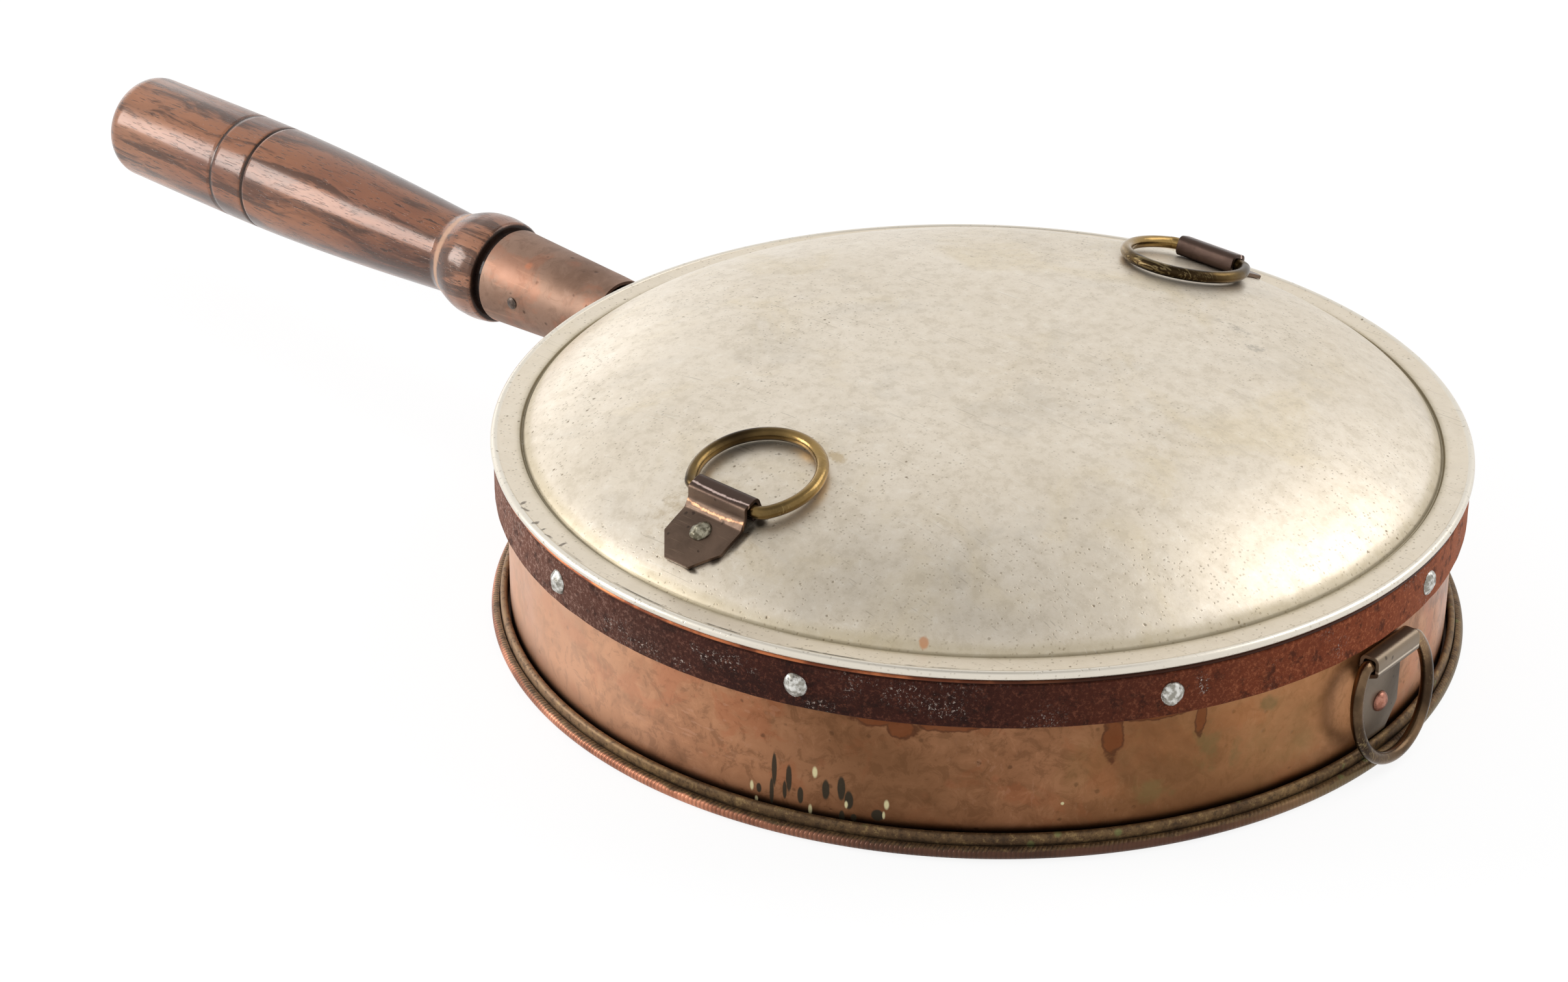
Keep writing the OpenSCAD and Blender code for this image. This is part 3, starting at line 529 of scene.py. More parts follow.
def drum_copper():
    """The wall's copper, with drips, pale spots and rust runs at the front, painted light on its sides,
    painted shade at its front and lip, and a dark line of painted shade at the foot.
    """
    tones = srgb(200, 144, 106), srgb(166, 114, 80), srgb(108, 70, 45)
    material, shader, place, colour, gloss = aged_copper("drum_copper", *tones)
    angle, radius, height = effect(ROUND, None, Vector=place)
    outside = ramp(radius, 135.0, 135.4)
    push = times(minus(noise(place, 160.0, 4.0), 0.5), 1.1)
    fine_push = times(push, 0.5)
    mm_along = times(angle, math.pi * WALL_R / 180)
    front = patches(place, 11.0, (0.38, 0.62), warp=1.0, shift=(0.7, 0.2, 0.3))
    # Painted light: the left side is painted lighter and pinker, the right side lighter and more orange. The
    # front is painted darker brown, part patina and part painted shade.
    colour = tint(colour, (232, 184, 152), band(angle, -135.0, 18.0, 62.0), outside, 0.6)
    colour = tint(colour, (184, 128, 72), band(angle, -12.0, 12.0, 34.0), outside, 0.5)
    brown = times(plus(times(front, 0.3), 0.5), band(angle, -44.0, 14.0, 48.0), outside)
    colour = tint(colour, (92, 60, 33), brown)
    olive = patches(place, 24.0, (0.5, 0.7), warp=0.7, shift=(0.3, 0.9, 0.5))
    colour = tint(colour, (128, 104, 62), olive, ramp(angle, -60.0, -20.0), ramp(angle, 40.0, 20.0),
                  outside, 0.5)
    # Darker towards the bottom.
    colour = tint(colour, (96, 58, 32), ramp(height, 6.0, 17.0, 1.0, 0.0), 0.5)
    green = times(stains(by_length(GREEN_PATCHES), mm_along, height, times(push, 3.0), 0.9), outside)
    colour = tint(colour, (112, 94, 56), green, 0.6)
    rust = times(stains(by_length(RUST_RUNS), mm_along, height, times(push, 1.4), 0.35), outside)
    colour = tint(colour, (118, 58, 24), rust, 0.6)
    rim_of_rust = times(rust, minus(1.0, rust), 2.4)
    colour = tint(colour, (62, 32, 18), rim_of_rust)
    # Painted shade: a dark line on the wall just above the foot, where the gap between them is.
    colour = tint(colour, (38, 22, 14), ramp(height, 5.6, 7.6, 1.0, 0.0), 0.85)
    dark = times(stains(by_length(DARK_DRIPS), mm_along, height, fine_push, 0.3), outside)
    colour = tint(colour, (40, 36, 22), dark, 0.92)
    pale = times(stains(by_length(PALE_DRIPS), mm_along, height, times(push, 0.3), 0.55), outside)
    colour = tint(colour, (222, 212, 166), pale, 0.95)
    # The lip shows copper under the lid; on the right side and low on the lip it is painted dark as painted
    # shade under the lid's rim.
    lip = times(ramp(height, 52.5, 52.8), ramp(radius, 136.0, 137.0))
    lip_unshaded = times(ramp(height, 52.9, 53.2), ramp(angle, -36.0, -66.0))
    lip_copper = blend(ramp(noise(place, 90.0, 4.0), 0.42, 0.6), srgb(196, 118, 76), srgb(120, 64, 42))
    colour = blend(lip, colour, blend(lip_unshaded, srgb(58, 32, 22), lip_copper))
    rough = between(most(dark, pale, rust), gloss, 0.62)
    metal = between(most(dark, pale), 0.85, 0.6)
    wire_up(shader, Base_Color=colour, Metallic=metal, Roughness=rough)
    return material


def foot_copper():
    """The foot: olive grime inside the bead, a finely hatched bead, and copper worn through on its outer
    side, with painted light on the left and on the worn copper, and painted shade at the front and in the
    trough.
    """
    material, shader, place = new_finish("foot_copper")
    angle, radius, height = effect(ROUND, None, Vector=place)
    grime = patches(place, 90.0, (0.35, 0.7), warp=0.5)
    grain = noise(place, 420.0, 6.0, 0.8)
    olive = blend(grime, srgb(130, 102, 66), srgb(90, 66, 42))
    # Painted light on the left side and painted shade at the front.
    olive = tint(olive, (180, 146, 116), band(angle, -150.0, 30.0, 70.0), 0.6)
    olive = tint(olive, (84, 62, 42), band(angle, -58.0, 16.0, 40.0), 0.5)
    olive = tint(olive, (50, 36, 22), ramp(grain, 0.5, 0.6), 0.6)
    olive = tint(olive, (172, 144, 96), ramp(grain, 0.46, 0.38), 0.45)
    green = specks(place, 280.0, share=0.25, size=0.4)
    olive = tint(olive, (120, 124, 76), green, ramp(angle, -80.0, -40.0), 0.7)
    pale = specks(place, 170.0, share=0.03, size=0.3)
    olive = tint(olive, (186, 176, 120), pale, 0.85)
    # Copper worn through on the outer side, painted lighter as a painted highlight and dark at the front as
    # painted shade.
    bare_and_painted_light = blend(patches(place, 60.0, (0.35, 0.65)), srgb(222, 148, 114), srgb(158, 98, 70))
    bare_and_painted_light = tint(bare_and_painted_light, (46, 26, 13), band(angle, -42.0, 16.0, 46.0), 0.9)
    bare_and_painted_light = tint(bare_and_painted_light, (112, 92, 60), ramp(angle, -26.0, -4.0))
    outer = times(ramp(plus(height, times(grime, 0.5)), 3.5, 2.9), ramp(radius, 139.6, 140.1))
    colour = blend(outer, olive, bare_and_painted_light)
    # Painted shade: a dark line in the trough between crest and bead.
    trough_shade = times(band(radius, 138.7, 0.05, 0.35), ramp(height, 3.4, 4.2, 1.0, 0.0), 0.85)
    colour = tint(colour, (30, 20, 13), trough_shade)
    on_bead = times(ramp(radius, 138.9, 139.2), ramp(height, 3.9, 3.6))
    teeth = maths("SINE", plus(times(angle, 12.0), times(radius, 2.6)))
    worn_off = ramp(noise(place, 70.0, 2.0), 0.35, 0.5, 0.35, 1.0)
    hatch = times(ramp(teeth, -0.5, 0.9), on_bead, worn_off, ramp(angle, -20.0, -50.0, 0.3, 1.0))
    colour = tint(colour, (44, 30, 20), hatch, between(outer, 0.62, 0.34))
    relief = minus(times(noise(place, 500.0, 3.0), 0.4), hatch)
    rough = between(outer, 0.55, 0.4)
    wire_up(shader, Base_Color=colour, Metallic=0.6, Roughness=rough, Height=relief, Depth=0.00015)
    return material


# Crusts of pale crumbs on the hoop: mm along it, height, half width and half length in mm
HOOP_CRUSTS = ((-142.0, 48.4, 7.5, 4.0), (-131.0, 45.6, 8.0, 4.4), (-150.0, 50.6, 4.0, 1.6),
               (-163.0, 41.4, 5.0, 2.0), (-62.0, 47.6, 2.2, 4.6), (-217.0, 43.2, 5.0, 3.6),
               (-230.0, 44.0, 5.0, 3.0), (-204.0, 42.4, 4.0, 2.4), (-192.0, 48.0, 12.0, 3.0))


def rusted_iron():
    """The hoop and tang: dark brown scale, redder rust to one side, pale crumbs, a coarse grain, and painted
    light on the left side and the right edge.
    """
    material, shader, place = new_finish("rusted_iron")
    angle, radius, height = effect(ROUND, None, Vector=place)
    grain = noise(place, 900.0, 5.0, 0.8)
    coarse = noise(place, 260.0, 5.0, 0.7)
    clouds = patches(place, 30.0, (0.35, 0.65), warp=0.6)
    colour = blend(clouds, srgb(66, 30, 21), srgb(44, 19, 13))
    redder = times(ramp(plus(angle, times(clouds, 8.0)), -50.0, 4.0), ramp(angle, 90.0, 150.0, 1.0, 0.0))
    colour = tint(colour, (146, 72, 42), redder, 0.85)
    # Painted light: lighter at the right edge and on the left side, where the grain's flecks are painted
    # paler too.
    colour = tint(colour, (186, 118, 88), band(angle, 40.0, 14.0, 44.0), 0.6)
    left = band(angle, -150.0, 22.0, 76.0)
    colour = tint(colour, (140, 96, 80), left, 0.7)
    flecks_with_painted_light = blend(redder, blend(left, srgb(112, 66, 50), srgb(208, 172, 156)), srgb(196, 116, 78))
    colour = blend(times(ramp(grain, 0.49, 0.64), 0.75), colour, flecks_with_painted_light)
    colour = tint(colour, (26, 12, 8), ramp(coarse, 0.5, 0.34), 0.6)
    pale = ramp(noise(place, 1150.0, 4.0, 0.75), 0.565, 0.62)
    mm_along = times(angle, math.pi * HOOP_R / 180)
    push = times(minus(coarse, 0.5), 2.6)
    places = stains(HOOP_CRUSTS, mm_along, height, push, 0.7)
    scattered = times(ramp(noise(place, 46.0, 2.0), 0.54, 0.7), 0.7)
    crusts = times(pale, most(places, scattered))
    colour = tint(colour, (216, 196, 184), crusts, 0.95)
    relief = plus(times(coarse, 0.5), times(grain, 0.4), times(crusts, 0.35))
    wire_up(shader, Base_Color=colour, Metallic=0.0, Roughness=0.75, Specular_IOR_Level=0.16, Height=relief,
            Depth=0.0004)
    return material


def old_brass(name, hollow, gold):
    """The rings' wire: antique brass, brown in the hollows and rubbed to gold in places."""
    material, shader, place = new_finish(name)
    rubbed = patches(place, 34.0, (0.34, 0.62), warp=0.3, rough=0.45)
    colour = blend(rubbed, hollow, gold)
    brown = patches(place, 120.0, (0.5, 0.7), shift=(0.4, 0.2, 0.6))
    colour = tint(colour, (38, 27, 16), brown, 0.35)
    scuffs = scratches(place, 60.0, cut=0.62)
    colour = tint(colour, (222, 196, 140), scuffs, 0.35)
    relief = noise(place, 600.0, 3.0)
    wire_up(shader, Base_Color=colour, Metallic=0.95, Roughness=between(rubbed, 0.3, 0.2), Height=relief,
            Depth=0.00005)
    return material


def dark_bronze():
    """The tabs' strip: dark brown bronzed brass, dulled, with scratches, a rubbed coppery fold that is also
    a painted highlight, and painted shade and highlights on the knuckles.
    """
    material, shader, place = new_finish("dark_bronze")
    angle, radius, height = effect(ROUND, None, Vector=place)
    clouds = patches(place, 70.0, (0.32, 0.68), warp=0.4)
    colour = blend(clouds, srgb(106, 86, 72), srgb(80, 64, 52))
    on_lid = ramp(height, 60.0, 62.0)
    colour = tint(colour, (124, 112, 96), ramp(on_lid, 0.0, 1.0, 0.7, 0.0))
    # Painted shade: the lid tabs' knuckles painted darker.
    colour = tint(colour, (66, 50, 44), ramp(radius, 110.6, 109.6), on_lid, 0.8)
    bit = noise(place, 640.0, 4.0, 0.7)
    # The fold is rubbed coppery metal and a painted highlight; the pale line along each lid knuckle is a
    # painted highlight.
    fold = ramp(plus(away(radius, 111.0), bit), 0.5, 0.75, 1.0, 0.0)
    colour = tint(colour, (212, 156, 116), fold, on_lid, 0.8)
    edge = ramp(plus(away(radius, 108.9), bit), 0.55, 0.95, 1.0, 0.0)
    colour = tint(colour, (222, 196, 186), edge, on_lid, 0.9)
    # Painted light on the drum tab's knuckle, with a thin painted highlight line along it.
    colour = tint(colour, (160, 142, 120), band(height, 34.6, 1.0, 3.0), 0.4)
    colour = tint(colour, (226, 212, 192), band(height, 32.2, 0.1, 0.5), 0.7)
    scuffs = scratches(place, 80.0, cut=0.7)
    colour = tint(colour, (176, 150, 124), scuffs, 0.16)
    pits = specks(place, 500.0, share=0.12, size=0.35)
    colour = tint(colour, (34, 25, 20), pits, 0.6)
    relief = noise(place, 500.0, 4.0)
    wire_up(shader, Base_Color=colour, Metallic=0.85, Roughness=between(clouds, 0.34, 0.44), Height=relief,
            Depth=0.00006)
    return material


def dull_tin(name, light, dark, metallic=0.8, lumpy=1.0):
    """Hammered rivet heads: pale metal with dirt in the dimples."""
    material, shader, place = new_finish(name)
    lumps = noise(place, 620.0, 4.0, 0.6)
    colour = blend(ramp(lumps, 0.4, 0.62), dark, light)
    pits = specks(place, 900.0, share=0.3, size=0.42)
    colour = tint(colour, (60, 56, 48), pits, 0.6 * lumpy)
    wire_up(shader, Base_Color=colour, Metallic=metallic, Roughness=0.36, Height=lumps,
            Depth=0.0003 * lumpy)
    return material


def rosewood():
    """Waxed rosewood turned along X: bands of tan and pinkish brown, dark wavy figure, open pores, a collar
    painted lighter as a highlight and its end face painted dark as shade.
    """
    material, shader, place = new_finish("rosewood")
    bend = noise(stretch(place, (9.0, 30.0, 30.0)), 1.0, 3.0, out=1)
    bent = put("ShaderNodeVectorMath", {0: bend, 1: (0.0, 0.026, 0.026), 2: place},
               operation="MULTIPLY_ADD").outputs[0]
    along = times(put("ShaderNodeSeparateXYZ", {0: place}).outputs[0], -1000.0)
    bands = noise(stretch(bent, (7.0, 95.0, 95.0)), 1.0, 5.0, 0.62)
    colour = blend(ramp(bands, 0.38, 0.6), srgb(74, 42, 29), srgb(152, 98, 68))
    rosy = noise(stretch(bent, (14.0, 60.0, 60.0), (0.4, 0.1, 0.9)), 1.0, 3.0)
    colour = tint(colour, (120, 72, 56), ramp(rosy, 0.4, 0.66), 0.5)
    colour = tint(colour, (190, 132, 96), ramp(along, BUTT_X - 60, BUTT_X - 20), 0.45)
    # Painted highlight: the collar is painted lighter.
    colour = tint(colour, (186, 134, 106), ramp(along, COLLAR_X + 12, COLLAR_X + 9), 0.5)
    figure = noise(stretch(bent, (13.0, 150.0, 150.0), (0.2, 0.7, 0.3)), 1.0, 4.0, 0.66)
    dark = ramp(figure, 0.5, 0.6)
    colour = tint(colour, (46, 26, 19), dark, 0.78)
    pores = noise(stretch(place, (120.0, 1500.0, 1500.0)), 1.0, 2.0, 0.5)
    more = noise(stretch(place, (210.0, 2400.0, 2400.0), (0.3, 0.3, 0.3)), 1.0, 1.0, 0.5)
    open_pores = most(ramp(pores, 0.62, 0.68), times(ramp(more, 0.63, 0.69), 0.7))
    colour = tint(colour, (34, 18, 13), open_pores, 0.8)
    worn = ramp(plus(away(along, NECK_X - 4.2), times(figure, 1.6)), 1.6, 3.0, 1.0, 0.0)
    colour = tint(colour, (220, 176, 146), worn, 0.8)
    # Painted shade: the collar's end face painted near black.
    face = ramp(along, COLLAR_X + 0.6, COLLAR_X + 0.1)
    colour = tint(colour, (14, 9, 8), face, 0.96)
    lines = most(*(band(along, at, 0.3, 0.8) for at in CUT_LINES))
    colour = tint(colour, (24, 13, 10), lines)
    rough = between(most(worn, face), between(dark, 0.27, 0.22), 0.6)
    gloss = between(most(worn, face), 0.6, 0.2)
    relief = minus(times(bands, 0.3), open_pores)
    wire_up(shader, Base_Color=colour, Metallic=0.0, Roughness=rough, Height=relief, Depth=0.00006,
            Specular_IOR_Level=gloss, Specular_Tint=srgb(255, 216, 196), Coat_Weight=0.3,
            Coat_Roughness=0.1)
    return material


LID = silvered_lid()
DRUM = drum_copper()
FOOT = foot_copper()
COPPER = aged_copper("ferrule_copper", srgb(162, 132, 114), srgb(140, 110, 92), srgb(94, 68, 54),
                     stain=0.5, rough=(0.5, 0.56))[0]
IRON = rusted_iron()
BRASS = old_brass("old_brass", srgb(50, 37, 20), srgb(152, 124, 76))
BROWN_BRASS = old_brass("brown_brass", srgb(56, 42, 30), srgb(140, 112, 84))
BRONZE = dark_bronze()
TIN = dull_tin("dull_tin", srgb(224, 222, 216), srgb(150, 146, 136))
GREY_TIN = dull_tin("grey_tin", srgb(164, 158, 138), srgb(100, 94, 76))
PINK_RIVET = dull_tin("pink_copper", srgb(186, 130, 110), srgb(150, 98, 80), 0.85, 0.3)
NAIL = dull_tin("nail_iron", srgb(104, 88, 76), srgb(72, 58, 50), 0.5)
WOOD = rosewood()

for node, finish in {"base_plate": DRUM, "foot_wire": TIN, "lid_wire": TIN, "lid_collar": LID, "tang": IRON,
                     "tang_rivets": PINK_RIVET, "ferrule_nails": NAIL, "drum_ring": BROWN_BRASS,
                     "lid_ring_front": BRASS, "lid_ring_back": BRASS}.items():
    for index in range(len(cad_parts[node].data.materials)):
        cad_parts[node].data.materials[index] = finish


# -------------------------------------------------------------------- pieces
def dome_height(r):
    """Height of the dome: rim plus rise times (1 - (r / radius) to the flatness) to the fullness."""
    return RIM_Z + DOME_H * (1 - np.clip(r / DOME_R, 0, 1) ** DOME_FLAT) ** DOME_FULL


def dome_fall(r):
    """How fast the dome falls at a radius: the formula above, differentiated."""
    s = np.clip(r / DOME_R, 0, 0.9995)
    steep = DOME_H / DOME_R * DOME_FULL * DOME_FLAT
    return steep * s ** (DOME_FLAT - 1) * (1 - s ** DOME_FLAT) ** (DOME_FULL - 1)


def dome_skin(r, off):
    """Radius and height of a point on the dome, moved out by off along the dome's normal."""
    step = off / np.hypot(dome_fall(r), 1)
    return r + step * dome_fall(r), dome_height(r) + step


def lid_sheet():
    """One sheet of revolution: dome, groove as a dip of sin squared, flat rim, bead, and the same back
    below. The dome sinks by up to half a millimetre along long waves, as hand-raised sheet does."""
    up = np.radians(np.linspace(0, 90, 90))
    share = np.linspace(0, 1, 13)
    bead = (LID_R - LID_BEAD, RIM_Z - 1.0)
    under_z = RIM_Z - LID_T
    groove_z = under_z - GROOVE_D
    r_in, z_in = dome_skin(DOME_R * np.sin(up[:-1]), -LID_T)
    outer = path(np.stack([DOME_R * np.sin(up), dome_height(DOME_R * np.sin(up))], -1),
                 np.stack([DOME_R + GROOVE_W * share, RIM_Z - GROOVE_D * np.sin(np.pi * share) ** 1.2], -1),
                 line((DOME_R + GROOVE_W, RIM_Z), (bead[0] - BEAD_JOIN, RIM_Z), 8),
                 arc(bead, LID_BEAD, BEAD_TURN, -150, 30))
    inner = path(arc(bead, LID_BEAD - LID_T, -150, 150, 20),
                 line((bead[0] - BEAD_JOIN_IN, under_z), (DOME_R + GROOVE_W + LID_T, under_z), 6),
                 [(DOME_R + GROOVE_W, groove_z), (DOME_R - LID_T, groove_z)],
                 np.stack([r_in[::-1], z_in[::-1]], -1))

    def hand_raised(r, a, z):
        x, y = r * np.cos(a), r * np.sin(a)
        from_tab = np.hypot(x, np.abs(y) - 101)
        free = np.clip((DOME_R - 3 - r) / 14, 0, 1) * np.clip((from_tab - 29) / 14, 0, 1)
        dent = -0.6 * np.exp(-((x + 72) ** 2 + (y - 62) ** 2) / 42 ** 2)
        return r, z + free * (0.3 * waves(x, y, 5, 62) + 0.1 * waves(x, y, 9, 28) - 0.32 + dent)

    shape = revolve(path(outer, inner), 420, closed=False, change=hand_raised)
    finish_mesh("lid_sheet", shape, "lid", LID, stands_for=["lid_dome"])


def drum_sheet():
    """Tube of revolution: the wall, its turned-out lip and the rounded top edge. Between foot and hoop the
    wall is pushed in and out by a tenth of a millimetre by long waves."""
    inner = WALL_R - WALL_T
    lip = [(LIP_R - 0.2, WALL_TOP), (LIP_R, WALL_TOP + 0.25), (LIP_R, LIP_TOP - 0.3),
           (LIP_R - 0.3, LIP_TOP)]
    profile = path(line((WALL_R, 1), (WALL_R, 8), 4),
                   line((WALL_R, 8), (WALL_R, 38), 16),
                   line((WALL_R, 38), (WALL_R, WALL_TOP), 3),
                   lip,
                   arc((inner + 1.2, LIP_TOP - 1.2), 1.2, 90, 180, 7),
                   line((inner, 48), (inner, 1), 8))

    def hand_beaten(r, a, z):
        free = np.clip((z - 8) / 5, 0, 1) * np.clip((38.4 - z) / 4, 0, 1) * (r > WALL_R - 0.1)
        clear = np.clip(np.abs(a - DRUM_TAB_TURN) / 0.14 - 1, 0, 1) * np.clip((2 * np.pi - a) / 0.1, 0, 1)
        return r + free * clear * 0.14 * waves(a * WALL_R, z * 1.6, 3, 46), z

    shape = revolve(profile, 420, change=hand_beaten)
    finish_mesh("drum_sheet", shape, "drum", DRUM, stands_for=["drum_wall"])


def foot_sheet():
    """Ring of revolution: a leg, a rounded crest, and a roll down, under and back over its wire."""
    bead = (FOOT_R - FOOT_BEAD, FOOT_BEAD + 0.05)
    small = (bead[0] - FOOT_BEAD - FOOT_LEG - FOOT_T) / 2
    crest = (FOOT_LEG + FOOT_T + small, FOOT_TOP - FOOT_T - small)
    profile = path(line((FOOT_LEG, 1.05), (FOOT_LEG, crest[1]), 4),
                   arc(crest, small + FOOT_T, 180, 0, 14),
                   line((crest[0] + small + FOOT_T, crest[1]), (bead[0] - FOOT_BEAD + FOOT_T, bead[1]), 5),
                   arc(bead, FOOT_BEAD - FOOT_T, -180, 112, 22),
                   arc(bead, FOOT_BEAD - FOOT_T / 2, 112, 116, 3),
                   arc(bead, FOOT_BEAD, 115, -180, 36),
                   line((bead[0] - FOOT_BEAD, bead[1]), (crest[0] + small, crest[1]), 4),
                   arc(crest, small, 0, 180, 7),
                   line((FOOT_LEG + FOOT_T, crest[1]), (FOOT_LEG + FOOT_T, 1.05), 3))

    def uneven(r, a, z):
        wave = 0.12 * waves(a * 140, 0 * z, 17, 60)
        return r + wave * np.clip((z - 2) / 2, 0, 1) * 0.6, z + wave * np.clip((z - 2) / 3, 0, 1)

    shape = revolve(profile, 480, change=uneven)
    finish_mesh("foot_sheet", shape, "drum", FOOT, stands_for=["foot_rim"])


def hoop_bar():
    """Flat bar of revolution with broken edges. Short waves roughen its outer face and edges like rust."""
    low, high, inner = HOOP_LOW, HOOP_HIGH, WALL_R + 0.05
    profile = path(line((inner, low), (HOOP_R - 0.5, low), 3),
                   line((HOOP_R, low + 0.5), (HOOP_R, high - 0.5), 14),
                   line((HOOP_R - 0.5, high), (inner, high), 3), line((inner, high), (inner, low), 3))

    def rusted(r, a, z):
        outer = np.clip((r - HOOP_R + 1.2) / 0.8, 0, 1)
        rough = 0.07 * waves(a * 139, z, 23, 5, 12) + 0.08 * waves(a * 139, z, 29, 14)
        rough = np.minimum(rough, 0.04)
        edge = 0.12 * waves(a * 139, 0 * z, 31, 9, 9) * (np.abs(z - (low + high) / 2) > 5.9) * outer
        return r + outer * rough, np.clip(z + edge, low - 0.05, high)

    shape = revolve(profile, 720, change=rusted)
    finish_mesh("hoop_bar", shape, "drum", IRON, stands_for=["iron_hoop"])


def ferrule_tube():
    """Thin cone of revolution along the handle, a little out of true at its open end."""
    def out(x):
        return TUBE_R + TUBE_FLARE * (x - FERRULE_X) / TUBE_FLARE_L

    xs = np.linspace(FERRULE_X, FERRULE_END - 0.4, 26)
    profile = path(np.stack([out(xs), xs], -1), [(14.7, FERRULE_END), (14.1, FERRULE_END)],
                   np.stack([out(xs[::-1]) - TUBE_T, xs[::-1]], -1))

    def dented(r, a, z):
        free = np.clip((FERRULE_END - 16 - z) / 20, 0, 1)
        return r + free * 0.1 * waves(a * 14, z, 41, 16), z

    shape = along_handle(revolve(profile, 120, change=dented))
    finish_mesh("ferrule_tube", shape, "drum", COPPER, stands_for=["ferrule"])


def turned_handle():
    """Solid of revolution along the handle: spigot, collar with a rounded edge that falls as a cosine to
    the neck, grip that swells as a sine, two cut lines and a butt rounded as a quarter ellipse."""
    edge_r = COLLAR_R - 0.5
    edge = arc((0, 0), 1.6, 180, 90, 8)
    collar = np.stack([edge_r - 1.6 + edge[:, 1], COLLAR_X + 1.6 + edge[:, 0]], -1)
    barrel_x = np.linspace(1.6, 8.8, 8)
    barrel = np.stack([edge_r + 0.5 * np.sin(np.pi * (barrel_x - 1.6) / 9.6), COLLAR_X + barrel_x], -1)
    u = np.linspace(0, 1, 18)
    fall_r = NECK_R + (barrel[-1, 0] - NECK_R) * np.cos(np.pi / 2 * u) ** 1.4
    fall = np.stack([fall_r, barrel_x[-1] + COLLAR_X + (NECK_X - COLLAR_X - barrel_x[-1]) * u], -1)
    xs = np.linspace(NECK_X + 0.4, BUTT_X - BUTT_ROUND, 190)
    swell = np.clip((xs - NECK_X) / (SWELL_X - NECK_X), 0, 1)
    grip_r = NECK_R + (GRIP_R - NECK_R) * np.sin(np.pi / 2 * swell)
    grip_r = grip_r - (GRIP_R - BUTT_R) * np.clip((xs - SWELL_X) / 50, 0, 1) ** 2
    for at in CUT_LINES:
        grip_r = grip_r - CUT_DEPTH * np.exp(-((xs - at) / CUT_HALF_W) ** 2)
    last = grip_r[-1]
    round_t = np.radians(np.linspace(0, 90, 18))
    butt_x = BUTT_X - BUTT_ROUND + BUTT_ROUND * np.sin(round_t)
    butt = np.stack([last * np.cos(round_t) ** 0.62, butt_x], -1)
    spigot = [(0, 163), (11.7, 163), (12.6, 164)]
    face = [(14.0, COLLAR_X), (15.0, COLLAR_X)]
    profile = path(spigot, face, collar, barrel, fall, np.stack([grip_r, xs], -1), butt)
    shape = along_handle(revolve(profile, 128, closed=False))
    finish_mesh("turned_handle", shape, "drum", WOOD, sharp=50, stands_for=["handle_grip"])


def strip(outer, inner):
    """Closed strip between two faces of rows by columns: a ring of points round each row, capped ends."""
    rows, cols = outer.shape[:2]
    ring = np.concatenate([outer, inner[:, ::-1]], 1)
    faces = grid_faces(rows, 2 * cols)
    c = np.arange(cols - 1)
    cap = np.stack([c, c + 1, 2 * cols - 2 - c, 2 * cols - 1 - c], -1)
    return ring.reshape(-1, 3), np.concatenate([faces, cap, cap + (rows - 1) * 2 * cols])


def tab_line(clip_at, tip_at):
    """Middle line of a tab's strip seen from its side, in mm from the ring's bar: x towards the tip, z
    away from the sheet. It wraps the bar in a rounded square, comes down a slope, folds, and runs flat to
    the tip."""
    low = 0.6 - KNUCKLE_R
    corners = [(1.2, low), (low, low), (low, -low - 0.1), (2.3, -low), (3.5, -0.4), (6.1, low), (6.9, low)]
    flat = np.concatenate([np.linspace(7.2, clip_at, 10), np.linspace(clip_at, tip_at, 8)])
    return path(rounded(corners, (1.5, 1.4, 0.75, 3.0, 1.6)), np.stack([flat, np.full_like(flat, low)], -1))


def tab_strip(place, clip_at, tip_at, tip_lift=0.0):
    """The middle line moved half a thickness each way along its normal, drawn across the strip's width,
    which narrows at the clipped corners. place(x, y, z) puts the points on the pan."""
    mid = tab_line(clip_at, tip_at)
    step = np.gradient(mid, axis=0)
    normal = np.stack([-step[:, 1], step[:, 0]], -1) / np.linalg.norm(step, axis=1)[:, None]
    half = np.interp(mid[:, 0], [clip_at, tip_at], [TAB_HALF, TIP_HALF])
    half[:len(mid) - CLIP_ROWS] = TAB_HALF
    across = np.linspace(-1, 1, STRIP_COLS)
    lifted = mid + np.stack([0 * mid[:, 0], tip_lift * np.clip((mid[:, 0] - 10) / 12, 0, 1) ** 2], -1)
    sides = []
    for side in (-1, 1):
        p = lifted + side * STRIP_HALF_T * normal
        x, z = (np.repeat(p[:, axis:axis + 1], STRIP_COLS, 1) for axis in (0, 1))
        sides.append(place(x, half[:, None] * across[None, :], z))
    return strip(*sides)


def lid_place(turn):
    """A lid tab's frame. The knuckle stands square to the dome's slope beside it. Past the ramp the strip
    follows the dome, the one passes smoothly into the other, and across it bends down with the dome."""
    slope = math.atan(dome_fall(LID_BAR[0] + RAMP_L))
    foot = KNUCKLE_R + RAMP_L
    foot_r = LID_BAR[0] + foot * math.cos(slope) - KNUCKLE_R * math.sin(slope)

    def place(x, y, z):
        near_r = LID_BAR[0] + x * math.cos(slope) + z * math.sin(slope)
        near_z = LID_BAR[1] - x * math.sin(slope) + z * math.cos(slope)
        far_r, far_z = dome_skin(foot_r + (x - foot) * 0.9, z + KNUCKLE_R + 0.07)
        share = np.clip((x - 5.2) / 2.4, 0, 1)
        share = share * share * (3 - 2 * share)
        r, h = near_r + share * (far_r - near_r), near_z + share * (far_z - near_z)
        h = h + share * (dome_height(np.hypot(r, y)) - dome_height(r))
        c, s = math.cos(turn), math.sin(turn)
        return np.stack([r * c - y * s, r * s + y * c, h], -1)
    return place, foot + (LID_TIP_R - CLIP_L - foot_r) / 0.9, foot + (LID_TIP_R - foot_r) / 0.9


